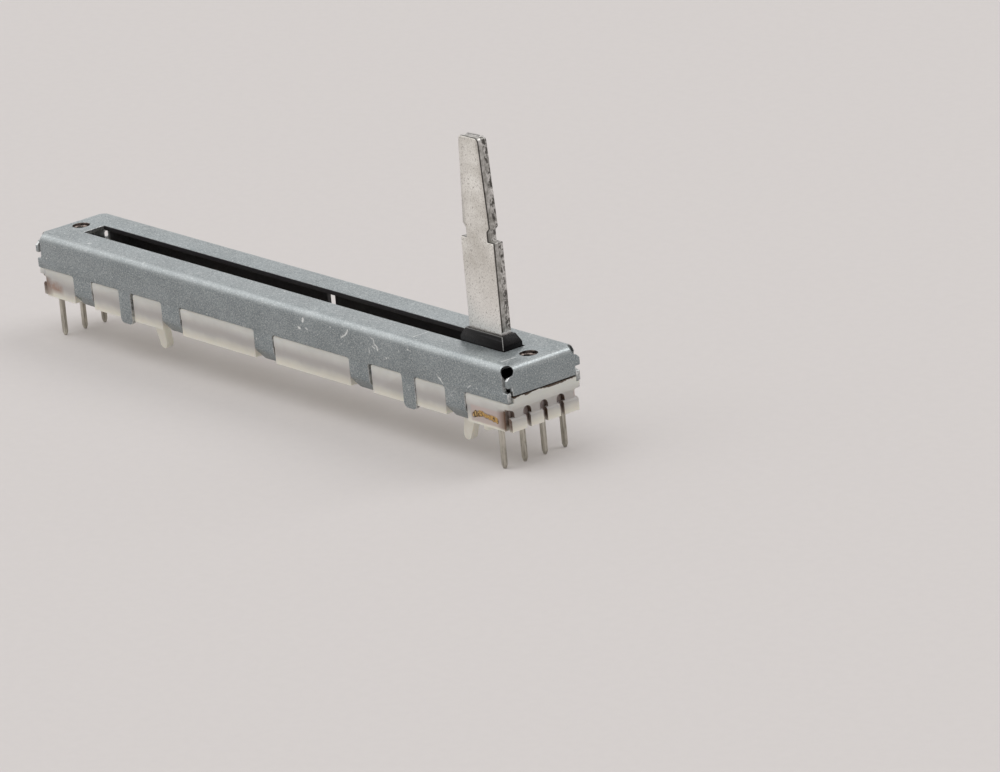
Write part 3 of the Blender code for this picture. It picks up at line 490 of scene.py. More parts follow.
def caseFinish(face):
    # 0 is the plated skin, 1 a cut edge, 2 the inside, painted dark as shade, and 3 a tapped hole,
    # painted dark as the shade in its bore
    at = caseLook["faces"]
    n, c = face.normal, face.center
    x, y = abs(c.x), abs(c.y)
    outwardsX, outwardsY = n.x * c.x > 0, n.y * c.y > 0
    holeAway = math.hypot(x - threadSize["places"][1], c.y)
    if holeAway < at["hole"] and abs(n.z) < at["upright"]:
        return 3
    if abs(n.z) > at["flat"]:
        if c.z > at["top"] - at["near"]:
            return 0
        return 2 if abs(c.z - at["top"] + at["sheet"]) < at["near"] else 1
    if abs(n.y) > at["flat"]:
        if y > at["side"] - at["near"]:
            return 0
        if y < at["slotSide"] and c.z > at["slotFoot"]:       # the slot's long sides, painted dark as shade
            return 2
        return 2 if abs(y - at["side"] + at["sheet"]) < at["near"] and c.y * n.y < 0 else 1
    if abs(n.x) > at["flat"]:
        if x > at["end"] - at["near"]:
            return 0
        if x < at["slotEnd"] and c.z > at["slitFoot"]:        # the ends of the slot and the back slit
            return 2
        return 2 if at["flapInside"][0] < x < at["flapInside"][1] and c.x * n.x < 0 else 1
    if abs(n.x) < at["level"]:                                # the long folds and the clinched legs
        if c.z < at["clinchTop"]:
            return 1 if n.z < at["downward"] else (0 if outwardsY else 2)
        if c.z > at["foldFoot"]:
            return 0 if outwardsY else 2
    if abs(n.y) < at["level"] and c.z > at["foldFoot"]:       # the folds of the end flaps
        return 0 if outwardsX else 2
    return 1


def buildCase():
    piece = copyOfNode("case_cover", "caseCover")
    paintFaces(piece, [zincSheet(), shearedZinc(), shadedInside(), shadedThread()], caseFinish)
    roundEdges(piece, caseLook["edgeRound"])
    handOver(piece, "case_cover")


# the tapped holes: a cut thread inside each drawn collar

threadSize = {
    "places": (-35.5 * mm, 35.5 * mm),
    "radius": 0.9 * mm,
    "ridge": 0.11 * mm,
    "corners": 4,
    "pitch": 0.4 * mm,
    "turns": 2,
    "top": 6.34 * mm,
    "stepsPerTurn": 40,
    "smoothUpTo": 50,
}


def buildThreads():
    size = threadSize
    firstPlace, *otherPlaces = size["places"]
    height = size["pitch"] * size["turns"]
    upright = (math.radians(90), 0, 0)
    bpy.ops.mesh.primitive_circle_add(vertices=size["corners"], radius=size["ridge"], fill_type="NGON",
                                      location=(size["radius"], 0, 0), rotation=upright)
    piece = bpy.context.object
    piece.name = "holeThread1"
    bakePlace(piece)
    winding = piece.modifiers.new("winding", "SCREW")
    winding.axis = "Z"
    winding.angle = math.tau * size["turns"]
    winding.screw_offset = height
    winding.steps = winding.render_steps = size["stepsPerTurn"] * size["turns"]
    applyAll(piece)
    bpy.ops.object.mode_set(mode="EDIT")
    bpy.ops.mesh.select_all(action="SELECT")
    bpy.ops.mesh.remove_doubles(threshold=shaping["samePoint"])
    bpy.ops.mesh.select_all(action="DESELECT")
    bpy.ops.mesh.select_mode(type="EDGE")
    bpy.ops.mesh.select_non_manifold(extend=False)
    bpy.ops.mesh.edge_face_add()                 # closes the ridge's two ends
    bpy.ops.mesh.select_all(action="SELECT")
    bpy.ops.mesh.normals_make_consistent(inside=False)
    bpy.ops.object.mode_set(mode="OBJECT")
    piece.location = (firstPlace, 0, size["top"] - height)
    bakePlace(piece)
    piece.data.materials.append(bpy.data.materials["shadedThread"])
    smoothShade(size["smoothUpTo"])
    threads = [piece]
    for number, place in enumerate(otherPlaces):
        threads.append(placedCopy(piece, f"holeThread{number + 2}", (place - firstPlace, 0, 0)))
    for thread in threads:
        handOver(thread, "case_cover", takesPlace=False)


# the rough bead of brown resin that has dried in the near block's recess, in millimetres

resinBead = {
    "line": [(31.8, 0.82), (32.2, 1.02), (32.7, 1.14), (33.2, 1.18), (33.7, 1.06), (34.2, 1.04),
             (34.6, 1.02), (35.0, 0.98), (35.35, 0.9)],
    "face": -4.4,             # the recess's floor, across the part
    "lumps": 150,
    "size": (0.10, 0.22),
    "proud": 0.078,
    "squash": (0.6, 1.0),
    "spread": 0.24, "narrow": 0.6, "swell": 9,     # the bead's half width, its mean share, its waves
    "lastPoint": 0.001,                            # keeps a lump off the line's very end
    "subdivisions": 2,
    "jitter": 0.06,
    "voxel": 0.034,
    # width and share of the painted shade between the bead's lumps
    "shadeWidth": 0.34, "shadeShare": 0.75,
    "dark": (0.040, 0.016, 0.004), "amber": (0.50, 0.29, 0.075),
    "mottle": (2600, 3, 0.7), "mottleShows": (0.40, 0.56),
    "glint": (0.84, 0.62, 0.26), "fine": (7000, 2, 0.55), "glintShows": (0.55, 0.68, 0.8),
    "rough": (0.3, 0.55), "bump": (0.5, 0.02),
}


# the moulded base: milky natural plastic, yellowish low down, pinker in the recess, with painted shade
# in the comb, the front corner, between the resin's lumps, under the flaps and under the case's edge

baseLook = {
    "edgeRound": 0.04 * mm,
    "milky": (0.600, 0.600, 0.570), "pale": (0.680, 0.680, 0.645), "clouds": (300, 3, 0.55),
    "middle": (0.490, 0.473, 0.455), "middleUp": (1.25, 1.55, 0.85),
    "foot": (0.84, 0.805, 0.69), "footUp": (1.0, 0.1, 0.9),              # from, to and how much
    "lowEdge": (0.90, 0.885, 0.79), "lowEdgeUp": (0.45, 0.1, 0.9),
    "rim": (0.70, 0.71, 0.66), "rimUp": (2.5, 2.9, 0.6),
    "outside": (4.30, 4.34), "front": (-4.1, -4.3),                      # places across the part
    # a painted shadow line just under the case's lower edge
    "shadowLine": (0.22, 0.19, 0.17), "shadowLineUp": (2.95, 3.2, 0.05), "shadowLineShare": 0.8,
    "recess": (0.56, 0.46, 0.43), "recessAlong": (31.6, 36.1, 0.25), "recessUp": (0.35, 1.75, 0.2),
    "recessShare": 0.8,
    "farStain": (0.36, 0.235, 0.18), "farStainAlong": (-36.4, -34.2, 0.8),
    "farStainUp": (0.9, 1.3, 0.5), "farStainShare": 0.9,
    "blotches": (900, 3, 0.6), "blotchShows": (0.30, 0.55),
    # the comb's notches take a painted shade: a paler tone on the back wall, dark brown on the sides
    "combBack": (0.56, 0.48, 0.46), "combSide": (0.075, 0.042, 0.026),
    "combSideAlong": (36.42, 36.6), "combSideAcross": (-3.7, -3.85),
    "combFades": (0.6, 0.5),      # the brown is full from here up, and has this share at the foot
    "combPatches": (1500, 3, 0.55), "combShows": (0.35, 0.6, 0.75, 1.0),
    "cornerShade": (0.17, 0.085, 0.045), "cornerAlong": (35.3, 36.4), "cornerUp": (0.3, 1.9, 0.3),
    "cornerShare": 0.85,
    # a painted shadow in the gap under the end flaps, with a jagged lower edge
    "underFlap": (0.06, 0.035, 0.02), "gapShadowUp": (3.46, 3.52), "gapShadowAlong": (36.6, 36.8),
    "jaggedEdge": ((500, 700, 500), 3, 0.6), "jaggedShows": (0.40, 0.60), "jaggedDepth": 0.16,
    "waves": (420, 2, 0.55), "waveDepth": 0.12,                          # what makes the bands uneven
    "fine": (2600, 3, 0.55), "rough": (0.34, 0.48), "bump": (0.2, 0.01),
    "glowRadius": (1.0, 0.8, 0.55), "glowShare": 0.18, "glowScale": 0.35 * mm, "ior": 1.5,
    "notch": (36.2 * mm, 37.08 * mm), "notchBack": 36.6 * mm, "notchTop": 2.3 * mm,
    "endOn": 0.9, "flat": 0.99,                                          # of a face's normal
}


def basePlastic(name, inNotches=False):
    desk = newFinish(name)
    look = baseLook
    clouds = noise(desk, *look["clouds"])
    fine = noise(desk, *look["fine"])
    x, y, z = (axis(desk, letter) for letter in "XYZ")
    waveDepth, jaggedDepth = look["waveDepth"] * mm, look["jaggedDepth"] * mm
    wave = spread(desk, noise(desk, *look["waves"]), -waveDepth, waveDepth)
    height = add(desk, z, wave)
    colour = patchy(desk, clouds, look["milky"], look["pale"])
    colour = layOver(desk, colour, look["middle"], within(desk, height, *look["middleUp"]))
    colour = layOver(desk, colour, look["foot"], ramp(desk, height, *look["footUp"]))
    colour = layOver(desk, colour, look["lowEdge"], ramp(desk, z, *look["lowEdgeUp"]))
    colour = layOver(desk, colour, look["rim"], ramp(desk, z, *look["rimUp"]))
    outside = ramp(desk, unsigned(desk, y), *look["outside"])
    # a painted shadow line on the outside of the base, just under the case's lower edge
    shadowLine = times(desk, within(desk, z, *look["shadowLineUp"]), outside)
    colour = layOver(desk, colour, look["shadowLine"], shadowLine, look["shadowLineShare"])
    front = ramp(desk, y, *look["front"])
    recess = times(desk, within(desk, add(desk, x, wave), *look["recessAlong"]),
                   within(desk, z, *look["recessUp"]), front)
    colour = layOver(desk, colour, look["recess"], recess, look["recessShare"])
    # painted dark brown shade between the resin's lumps, along the bead's line
    for (xa, za), (xb, zb) in zip(resinBead["line"], resinBead["line"][1:]):
        start, end = (xa, resinBead["face"], za), (xb, resinBead["face"], zb)
        under = scratch(desk, start, end, resinBead["shadeWidth"])
        colour = layOver(desk, colour, look["combSide"], under, resinBead["shadeShare"])
    blotch = shows(desk, noise(desk, *look["blotches"]), *look["blotchShows"])
    stain = times(desk, within(desk, add(desk, x, wave), *look["farStainAlong"]),
                  within(desk, height, *look["farStainUp"]), front, blotch)
    colour = layOver(desk, colour, look["farStain"], stain, look["farStainShare"])
    endways = unsigned(desk, x)
    # painted shade in the comb's notches: dark brown on the side walls, paler on the back wall, fading
    # towards the foot
    if inNotches:
        side = ramp(desk, add(desk, endways, wave), *look["combSideAlong"])
        side = larger(desk, side, ramp(desk, y, *look["combSideAcross"]))
        tone = blend(desk, side, look["combBack"], look["combSide"])
        fadeTo, faded = look["combFades"]
        brown = remap(desk, noise(desk, *look["combPatches"]), *look["combShows"])
        brown = times(desk, brown, remap(desk, z, 0.0, fadeTo * mm, faded, 1.0))
        colour = layOver(desk, colour, tone, brown)
    # painted brown shade in the front corner beside the comb
    corner = times(desk, ramp(desk, add(desk, endways, wave), *look["cornerAlong"]), front,
                   within(desk, z, *look["cornerUp"]))
    colour = layOver(desk, colour, look["cornerShade"], corner, look["cornerShare"])
    # a painted shadow in the gap under the end flaps; the noise makes its lower edge jagged
    jaggedEdge = remap(desk, drawnOut(desk, *look["jaggedEdge"]), *look["jaggedShows"], 0.0, jaggedDepth)
    flapGapShadow = times(desk, ramp(desk, add(desk, z, jaggedEdge), *look["gapShadowUp"]),
                  ramp(desk, endways, *look["gapShadowAlong"]))
    colour = layOver(desk, colour, look["underFlap"], flapGapShadow)
    bump(desk, fine, *look["bump"])
    return finish(desk, {"Base Color": colour, "Roughness": spread(desk, fine, *look["rough"]),
                         "Subsurface Weight": look["glowShare"], "Subsurface Scale": look["glowScale"],
                         "Subsurface Radius": look["glowRadius"], "IOR": look["ior"]})


def combFinish(face):
    # 1 is the painted brown shade inside the comb's notches, 0 the rest
    look, n, x = baseLook, face.normal, abs(face.center.x)
    inNotch = look["notch"][0] < x < look["notch"][1] and face.center.z < look["notchTop"]
    stained = abs(n.x) < look["endOn"] or x < look["notchBack"]
    return 1 if inNotch and stained and abs(n.z) < look["flat"] else 0


def buildBase():
    piece = copyOfNode("base_moulding", "baseMoulding")
    plastics = [basePlastic("naturalPlastic"), basePlastic("combShade", inNotches=True)]
    paintFaces(piece, plastics, combFinish)
    roundEdges(piece, baseLook["edgeRound"])
    handOver(piece, "base_moulding")


# the faint rings that the mould's ejector pins leave on the underside

ejectorRing = {
    "places": [(-24 * mm, 0), (-8 * mm, 0), (8 * mm, 0), (24 * mm, 0)],
    "radius": 0.95 * mm,
    "corners": 40,
    "thick": 0.04 * mm,
    "proud": 0.035 * mm,
    "rim": 0.12 * mm,
    "sunk": 0.03 * mm,
    "downward": -0.9,         # of a face's normal
}


def buildEjectorRings():
    ring = ejectorRing
    (firstX, firstY), *otherPlaces = ring["places"]
    middle = ring["thick"] / 2 - ring["proud"]
    bpy.ops.mesh.primitive_cylinder_add(vertices=ring["corners"], radius=ring["radius"],
                                        depth=ring["thick"], location=(firstX, firstY, middle))
    piece = bpy.context.object
    piece.name = "ejectorMark1"
    bakePlace(piece)
    editFaces(piece, lambda face: face.normal.z < ring["downward"])
    bpy.ops.mesh.inset(thickness=ring["rim"], depth=0)
    bpy.ops.transform.translate(value=(0, 0, ring["sunk"]))
    bpy.ops.object.mode_set(mode="OBJECT")
    piece.data.materials.append(bpy.data.materials["naturalPlastic"])
    smoothShade(shaping["smoothUpTo"])
    marks = [piece]
    for number, (x, y) in enumerate(otherPlaces):
        marks.append(placedCopy(piece, f"ejectorMark{number + 2}", (x - firstX, y - firstY, 0)))
    for mark in marks:
        handOver(mark, "base_moulding", takesPlace=False)


def brownResin():
    desk = newFinish("brownResin")
    look = resinBead
    mottle = noise(desk, *look["mottle"])
    fine = noise(desk, *look["fine"])
    colour = layOver(desk, look["dark"], look["amber"], shows(desk, mottle, *look["mottleShows"]))
    colour = layOver(desk, colour, look["glint"], shows(desk, fine, *look["glintShows"]))
    bump(desk, fine, *look["bump"])
    return finish(desk, {"Base Color": colour, "Roughness": spread(desk, mottle, *look["rough"])})


def buildResinBead():
    # many flattened lumps along the line, melted into one crust
    bead = resinBead
    stretches = len(bead["line"]) - 1
    deselectAll()
    bpy.ops.mesh.primitive_ico_sphere_add(subdivisions=bead["subdivisions"], radius=1.0)
    ball = bpy.context.object
    lumps = []
    for _ in range(bead["lumps"]):
        share = random.random() * (stretches - bead["lastPoint"])
        (xa, za), (xb, zb) = bead["line"][int(share)], bead["line"][int(share) + 1]
        along = share - int(share)
        swell = math.sin(bead["swell"] * share / stretches)
        wide = bead["spread"] * (bead["narrow"] + (1 - bead["narrow"]) * swell)
        x = (xa + (xb - xa) * along + random.uniform(-bead["jitter"], bead["jitter"])) * mm
        z = (za + (zb - za) * along + random.uniform(-wide, wide)) * mm
        radius = random.uniform(*bead["size"]) * mm
        lump = bpy.data.objects.new("lump", ball.data.copy())
        bpy.context.scene.collection.objects.link(lump)
        lump.location = (x, bead["face"] * mm, z)
        proud = bead["proud"] * mm * random.uniform(*bead["squash"])
        lump.scale = (radius, proud, radius * random.uniform(*bead["squash"]))
        lumps.append(lump)
    bpy.data.objects.remove(ball)
    deselectAll()
    for lump in lumps:
        lump.select_set(True)
    bpy.context.view_layer.objects.active = lumps[0]
    bpy.ops.object.transform_apply(location=True, rotation=True, scale=True)
    bpy.ops.object.join()
    piece = bpy.context.object
    piece.name = "resinBead"
    melt = piece.modifiers.new("melt", "REMESH")
    melt.mode = "VOXEL"
    melt.voxel_size = bead["voxel"] * mm
    melt.use_smooth_shade = True
    applyAll(piece)
    piece.data.materials.clear()
    piece.data.materials.append(brownResin())
    handOver(piece, "base_moulding", takesPlace=False)


# the black carriage: shiny plastic with rub streaks lightened on the plinth's shoulders as a painted
# sheen, and painted highlights along its near corner and top edge

carriageLook = {
    "edgeRound": 0.05 * mm,
    "black": (0.0035, 0.0032, 0.0038),
    "dust": (0.045, 0.045, 0.045), "dustGrain": (6200, 2, 0.7), "dustShows": (0.66, 0.78, 0.4),
    "paintedSheen": (0.055, 0.055, 0.058), "rubs": ((260, 6000, 6000), 3, 0.65), "rubShows": (0.54, 0.68),
    "sheenShare": 0.7, "shoulder": (7.1, 7.5),
    # painted highlights along the plinth's edges: their tone and width, then each line
    "glintTone": (0.42, 0.42, 0.41), "glintWidth": 0.07,
    "paintedGlints": [            # start, end and how bright
        ((33.2, -1.2, 6.6), (33.2, -1.2, 6.95), 0.85),
        ((33.2, -1.2, 6.95), (32.75, -0.85, 7.75), 0.85),
        ((26.9, -0.85, 7.75), (32.7, -0.85, 7.75), 0.3),
    ],
    "fine": (3000, 3, 0.55), "rough": (0.24, 0.36), "bump": (0.25, 0.01), "specular": 0.13,
}


def blackPlastic():
    desk = newFinish("blackPlastic")
    look = carriageLook
    fine = noise(desk, *look["fine"])
    dust = noise(desk, *look["dustGrain"])
    rubs = drawnOut(desk, *look["rubs"])
    colour = layOver(desk, look["black"], look["dust"], shows(desk, dust, *look["dustShows"]))
    # rub streaks that show only near the top, lighter there as a painted sheen
    shoulder = ramp(desk, axis(desk, "Z"), *look["shoulder"])
    paintedSheen = times(desk, shows(desk, rubs, *look["rubShows"]), shoulder)
    colour = layOver(desk, colour, look["paintedSheen"], paintedSheen, look["sheenShare"])
    # painted highlights: thin bright lines along the plinth's near corner and top edge
    for start, end, bright in look["paintedGlints"]:
        line = scratch(desk, start, end, look["glintWidth"])
        colour = layOver(desk, colour, look["glintTone"], line, bright)
    bump(desk, add(desk, fine, rubs), *look["bump"])
    return finish(desk, {"Base Color": colour, "Roughness": spread(desk, fine, *look["rough"]),
                         "Specular IOR Level": look["specular"]})


def buildCarriage():
    piece = copyOfNode("carriage", "carriageBody")
    piece.data.materials.append(blackPlastic())
    roundEdges(piece, carriageLook["edgeRound"])
    handOver(piece, "carriage")


# the lever: barrelled steel faces painted lighter towards the foot as a gradient of light, and darker
# sheared edges with a painted shadow line along one corner and a painted highlight at the foot

leverLook = {
    "edgeRound": 0.09 * mm,
    "flat": 0.9,              # of a face's normal: past it, the face is one of the two broad ones
    "face": {
        "dark": (0.68, 0.66, 0.61), "light": (0.86, 0.845, 0.80), "clouds": (420, 4, 0.65),
        "foot": (0.96, 0.945, 0.91), "footUp": (14.5, 9),
        "pits": (0.34, 0.32, 0.29), "pitNoise": (3600, 2, 0.6), "pitShows": (0.40, 0.28, 0.8),
        "fine": (6500, 3, 0.7), "finePitShows": (0.50, 0.34, 0.5),
        "glint": (0.90, 0.89, 0.87), "glintShows": (0.58, 0.72, 0.6),
        "lines": ((6000, 6000, 420), 3, 0.6),
        "metallic": 0.95, "rough": (0.30, 0.42), "lineRough": 0.06,
        "pitRelief": 0.8, "bump": (0.35, 0.015),
    },
    "cutEdge": {
        "dark": (0.27, 0.265, 0.245), "light": (0.62, 0.61, 0.59),
        "patches": (1300, 4, 0.65), "patchShows": (0.38, 0.62),
        "glint": (0.90, 0.89, 0.87), "glintShows": (0.60, 0.74, 0.7),
        "lines": ((2600, 9000, 900), 3, 0.6),
        "tornFrom": (-0.08, 0.06), "ragged": 0.12,          # the torn half, across the edge
        "pits": ((2600, 3000, 2000), 3, 0.65, 0.8, (0.6, 0, 0)),
        "hole": (0.06, 0.055, 0.05), "holeShows": (0.52, 0.42), "holeShare": 0.9,
        "fleckShows": (0.60, 0.70), "fleckShare": 0.8,
        # the corner tone is a painted shadow line next to the broad face
        "corner": (0.05, 0.045, 0.04), "cornerAcross": (-0.55, -0.44, 0.05), "cornerShare": 0.9,
        "footUp": (7.72, 8.02, 0.05),
        "metallic": 0.9, "rough": (0.28, 0.44), "tornRelief": 2.0, "bump": (0.5, 0.03),
    },
}


def leverSteel():
    desk = newFinish("leverSteel")
    look = leverLook["face"]
    clouds = noise(desk, *look["clouds"])
    lines = drawnOut(desk, *look["lines"])
    pits = noise(desk, *look["pitNoise"])
    fine = noise(desk, *look["fine"])
    colour = patchy(desk, clouds, look["dark"], look["light"])
    # lighter towards the foot: a painted gradient of light on the broad faces
    colour = layOver(desk, colour, look["foot"], ramp(desk, axis(desk, "Z"), *look["footUp"]))
    colour = layOver(desk, colour, look["pits"], shows(desk, fine, *look["finePitShows"]))
    colour = layOver(desk, colour, look["pits"], shows(desk, pits, *look["pitShows"]))
    colour = layOver(desk, colour, look["glint"], shows(desk, fine, *look["glintShows"]))
    lineRough = spread(desk, lines, -look["lineRough"], look["lineRough"])
    rough = add(desk, spread(desk, clouds, *look["rough"]), lineRough)
    bump(desk, add(desk, lines, times(desk, pits, look["pitRelief"])), *look["bump"])
    return finish(desk, {"Base Color": colour, "Metallic": look["metallic"], "Roughness": rough})


def shearedSteel():
    desk = newFinish("shearedSteel")
    look = leverLook["cutEdge"]
    patches = noise(desk, *look["patches"])
    lines = drawnOut(desk, *look["lines"])
    pits = drawnOut(desk, *look["pits"])
    colour = layOver(desk, look["dark"], look["light"], shows(desk, patches, *look["patchShows"]))
    colour = layOver(desk, colour, look["glint"], shows(desk, lines, *look["glintShows"]))
    y, ragged = axis(desk, "Y"), look["ragged"] * mm
    torn = ramp(desk, add(desk, y, spread(desk, patches, -ragged, ragged)), *look["tornFrom"])
    holes = times(desk, shows(desk, pits, *look["holeShows"]), torn)
    colour = layOver(desk, colour, look["hole"], holes, look["holeShare"])
    flecks = times(desk, shows(desk, pits, *look["fleckShows"]), torn)
    colour = layOver(desk, colour, look["glint"], flecks, look["fleckShare"])
    # a painted shadow line along the edge face, next to the broad face
    corner = within(desk, y, *look["cornerAcross"])
    colour = layOver(desk, colour, look["corner"], corner, look["cornerShare"])
    colour = layOver(desk, colour, look["glint"], within(desk, axis(desk, "Z"), *look["footUp"]))
    relief = add(desk, lines, times(desk, pits, torn, look["tornRelief"]))
    bump(desk, relief, *look["bump"])
    rough = spread(desk, patches, *look["rough"])
    return finish(desk, {"Base Color": colour, "Metallic": look["metallic"], "Roughness": rough})


def buildLever():
    piece = copyOfNode("lever", "leverBlade")
    steels = [leverSteel(), shearedSteel()]
    paintFaces(piece, steels, lambda face: 0 if abs(face.normal.y) > leverLook["flat"] else 1)
    roundEdges(piece, leverLook["edgeRound"])
    handOver(piece, "lever")


# the tinned pins

pinLook = {
    "edgeRound": 0.04 * mm,
    "dull": (0.35, 0.33, 0.28), "mid": (0.57, 0.545, 0.475),
    "clouds": ((1500, 1500, 500), 3, 0.6), "cloudShows": (0.38, 0.62),
    "bright": (0.72, 0.70, 0.64), "brightShows": (0.50, 0.68, 0.8),
    "streaks": ((9000, 9000, 550), 3, 0.65),
    "crease": (0.11, 0.10, 0.085), "creaseShows": (0.42, 0.30, 0.6),
    "metallic": 0.9, "rough": (0.28, 0.4), "streakRough": 0.05, "bump": (0.4, 0.02),
}


def tinPlate():
    desk = newFinish("tinPlate")
    look = pinLook
    clouds = drawnOut(desk, *look["clouds"])
    streaks = drawnOut(desk, *look["streaks"])
    colour = layOver(desk, look["dull"], look["mid"], shows(desk, clouds, *look["cloudShows"]))
    colour = layOver(desk, colour, look["bright"], shows(desk, streaks, *look["brightShows"]))
    colour = layOver(desk, colour, look["crease"], shows(desk, streaks, *look["creaseShows"]))
    streakRough = spread(desk, streaks, -look["streakRough"], look["streakRough"])
    rough = add(desk, spread(desk, clouds, *look["rough"]), streakRough)
    bump(desk, streaks, *look["bump"])
    return finish(desk, {"Base Color": colour, "Metallic": look["metallic"], "Roughness": rough})


def buildTerminals():
    tin = tinPlate()
    for node in [name for name in frame["nodes"] if name.startswith("terminal")]:
        piece = copyOfNode(node, node.replace("terminal_", "pin_"))
        piece.data.materials.append(tin)
        roundEdges(piece, pinLook["edgeRound"])
        handOver(piece, node)


# the board, its printed tracks, the rivets and the wipers inside, by their material slots

innerLook = {
    "brass": {
        "name": "rivetBrass", "dark": (0.58, 0.42, 0.18), "light": (0.74, 0.56, 0.28),
        "clouds": (1200, 3, 0.55), "fine": (5000, 2, 0.55), "metallic": 0.95, "rough": (0.26, 0.38),
        "bump": (0.2, 0.01),
    },
    "phosphor_bronze": {
        "name": "springBronze", "dark": (0.52, 0.32, 0.16), "light": (0.66, 0.43, 0.24),
        "clouds": (1200, 3, 0.55), "fine": (5000, 2, 0.55), "metallic": 0.95, "rough": (0.24, 0.36),
        "bump": (0.2, 0.01),
    },
    "printed_carbon": {
        "name": "carbonInk", "dark": (0.012, 0.012, 0.012), "light": (0.03, 0.03, 0.03),
        "clouds": (6000, 3, 0.55), "fine": (6000, 3, 0.55), "metallic": 0.0, "rough": (0.5, 0.7),
        "bump": (0.2, 0.008),
    },
    "printed_silver": {
        "name": "silverInk", "dark": (0.42, 0.42, 0.40), "light": (0.58, 0.58, 0.56),
        "clouds": (6000, 3, 0.55), "fine": (6000, 3, 0.55), "metallic": 0.6, "rough": (0.5, 0.7),
        "bump": (0.2, 0.008),
    },
    "phenolic_laminate": {
        "name": "phenolicBoard", "dark": (0.14, 0.075, 0.035), "light": (0.24, 0.135, 0.07),
        "fibres": ((500, 2600, 2600), 3, 0.6), "fine": (4000, 2, 0.55), "metallic": 0.0,
        "rough": (0.5, 0.65), "bump": (0.25, 0.015),
    },
}


def innerFinish(look):
    # the board's bump follows its fibres, the others' their fine grain
    desk = newFinish(look["name"])
    fine = noise(desk, *look["fine"])
    patches = drawnOut(desk, *look["fibres"]) if "fibres" in look else noise(desk, *look["clouds"])
    colour = patchy(desk, patches, look["dark"], look["light"])
    bump(desk, patches if "fibres" in look else fine, *look["bump"])
    rough = spread(desk, fine, *look["rough"])
    return finish(desk, {"Base Color": colour, "Metallic": look["metallic"], "Roughness": rough})


def dressInside():
    materials = {slot: innerFinish(look) for slot, look in innerLook.items()}
    for node, item in frame["nodes"].items():
        if slotOf[node] in materials:
            item.data.materials.clear()
            item.data.materials.append(materials[slotOf[node]])


buildCase()
buildThreads()
print("case made")
buildBase()
buildEjectorRings()
buildResinBead()
print("base made")
buildCarriage()
buildLever()
print("slider made")
buildTerminals()
dressInside()
print("metal made")


# floor, light and camera

stage = {
    "paper": (0.656, 0.628, 0.616),
    "litPaper": (0.612, 0.586, 0.575),
    "paperGrain": (900, 2, 0.55),
    "grainLevel": (0.99, 1.01),
    "paperRough": 0.9,
    "floorLevel": cadBox[0].z - 0.02 * mm,
    "floorSize": 6.0,
    "glow": 0.18,               # how much of the floor's tone the lamps and the shadow don't touch
    "worldLight": 0.66,
}


def paleFloor():
    bpy.ops.mesh.primitive_plane_add(size=stage["floorSize"], location=(0, 0, stage["floorLevel"]))
    floor = bpy.context.object
    floor.name = "paleFloor"
    desk = newFinish("floorPaper")
    grain = spread(desk, noise(desk, *stage["paperGrain"]), *stage["grainLevel"])
    plain = vectorCalc(desk, "SCALE", stage["litPaper"], scale=grain)
    finish(desk, {"Base Color": plain, "Roughness": stage["paperRough"], "Specular IOR Level": 0.0})
    tree = desk["tree"]
    glow = tree.nodes.new("ShaderNodeEmission")
    glow.inputs["Color"].default_value = (*stage["paper"], 1.0)
    path = tree.nodes.new("ShaderNodeLightPath")
    seen = larger(desk, path.outputs["Is Camera Ray"], path.outputs["Is Glossy Ray"])
    seen = larger(desk, seen, path.outputs["Is Transmission Ray"])
    mixed = tree.nodes.new("ShaderNodeMixShader")
    tree.links.new(times(desk, seen, stage["glow"]), mixed.inputs[0])
    tree.links.new(desk["shader"].outputs[0], mixed.inputs[1])
    tree.links.new(glow.outputs[0], mixed.inputs[2])
    tree.links.new(mixed.outputs[0], tree.nodes["Material Output"].inputs["Surface"])
    floor.data.materials.append(desk["material"])


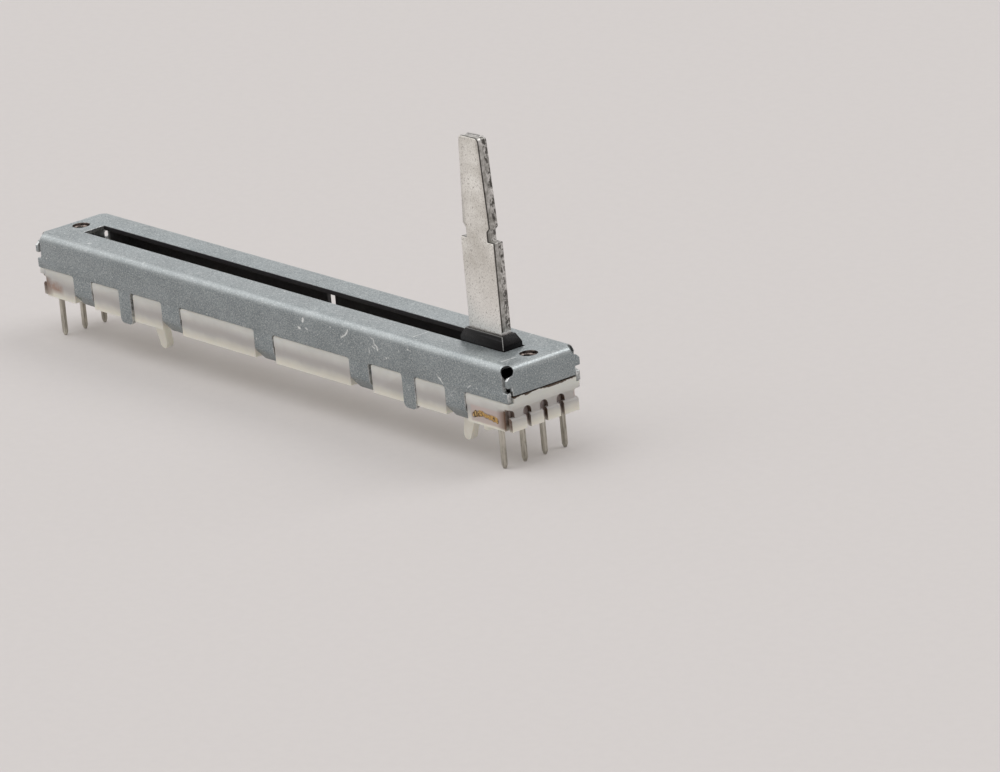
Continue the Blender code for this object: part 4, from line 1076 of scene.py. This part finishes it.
def studioWorld():
    # shows the paper's own tone, and lights the part with less than it shows
    world = bpy.data.worlds.new("studio")
    bpy.context.scene.world = world
    world.use_nodes = True
    tree = world.node_tree
    shade = tree.nodes["Background"]
    shade.inputs["Color"].default_value = (*stage["paper"], 1.0)
    path = tree.nodes.new("ShaderNodeLightPath")
    seen = tree.nodes.new("ShaderNodeMath")
    seen.operation = "MAXIMUM"
    tree.links.new(path.outputs["Is Camera Ray"], seen.inputs[0])
    tree.links.new(path.outputs["Is Glossy Ray"], seen.inputs[1])
    level = tree.nodes.new("ShaderNodeMapRange")
    level.inputs["To Min"].default_value = stage["worldLight"]
    level.inputs["To Max"].default_value = 1.0
    tree.links.new(seen.outputs[0], level.inputs["Value"])
    tree.links.new(level.outputs["Result"], shade.inputs["Strength"])


lamps = {
    "overhead": {"towards": (0.18, 0.30, -1.0), "strength": 1.0, "softness": 50},
    "leftFill": {"towards": (0.72, 0.36, -0.58), "strength": 0.68, "softness": 80},
    "backLeft": {"towards": (0.75, -0.58, -0.42), "strength": 0.20, "softness": 55},
    "backRight": {"towards": (-0.31, -0.585, -0.75), "strength": 0.85, "softness": 40},
}


def softSun(name, towards, strength, softness):
    lamp = bpy.data.lights.new(name, "SUN")
    lamp.energy = strength
    lamp.angle = math.radians(softness)
    item = bpy.data.objects.new(name, lamp)
    item.rotation_mode = "QUATERNION"
    item.rotation_quaternion = Vector(towards).to_track_quat("-Z", "Y")
    bpy.context.scene.collection.objects.link(item)


# where the photograph's camera stood, in millimetres, and how it was turned

cameraView = {
    "place": (586.83, -434.66, 233.77),
    "right": (0.636378, 0.766034, -0.090634),
    "down": (0.185724, -0.266199, -0.945856),
    "forward": (-0.748685, 0.585089, -0.311675),
    "sensorWidth": 36.0,
    "lens": 280.84,
    "clip": (0.01, 20.0),
}


def photoCamera():
    right, down, forward = (Vector(cameraView[way]) for way in ("right", "down", "forward"))
    turn = Matrix((right, -down, -forward)).transposed()
    lens = bpy.data.cameras.new("photoCamera")
    lens.sensor_width = cameraView["sensorWidth"]
    lens.lens = cameraView["lens"]
    lens.clip_start, lens.clip_end = cameraView["clip"]
    camera = bpy.data.objects.new("photoCamera", lens)
    camera.matrix_world = Matrix.Translation(Vector(cameraView["place"]) * mm) @ turn.to_4x4()
    bpy.context.scene.collection.objects.link(camera)
    bpy.context.scene.camera = camera


paleFloor()
studioWorld()
for name, lamp in lamps.items():
    softSun(name, **lamp)
photoCamera()
bpy.context.scene.view_settings.view_transform = "Standard"
deselectAll()
print("stage set")
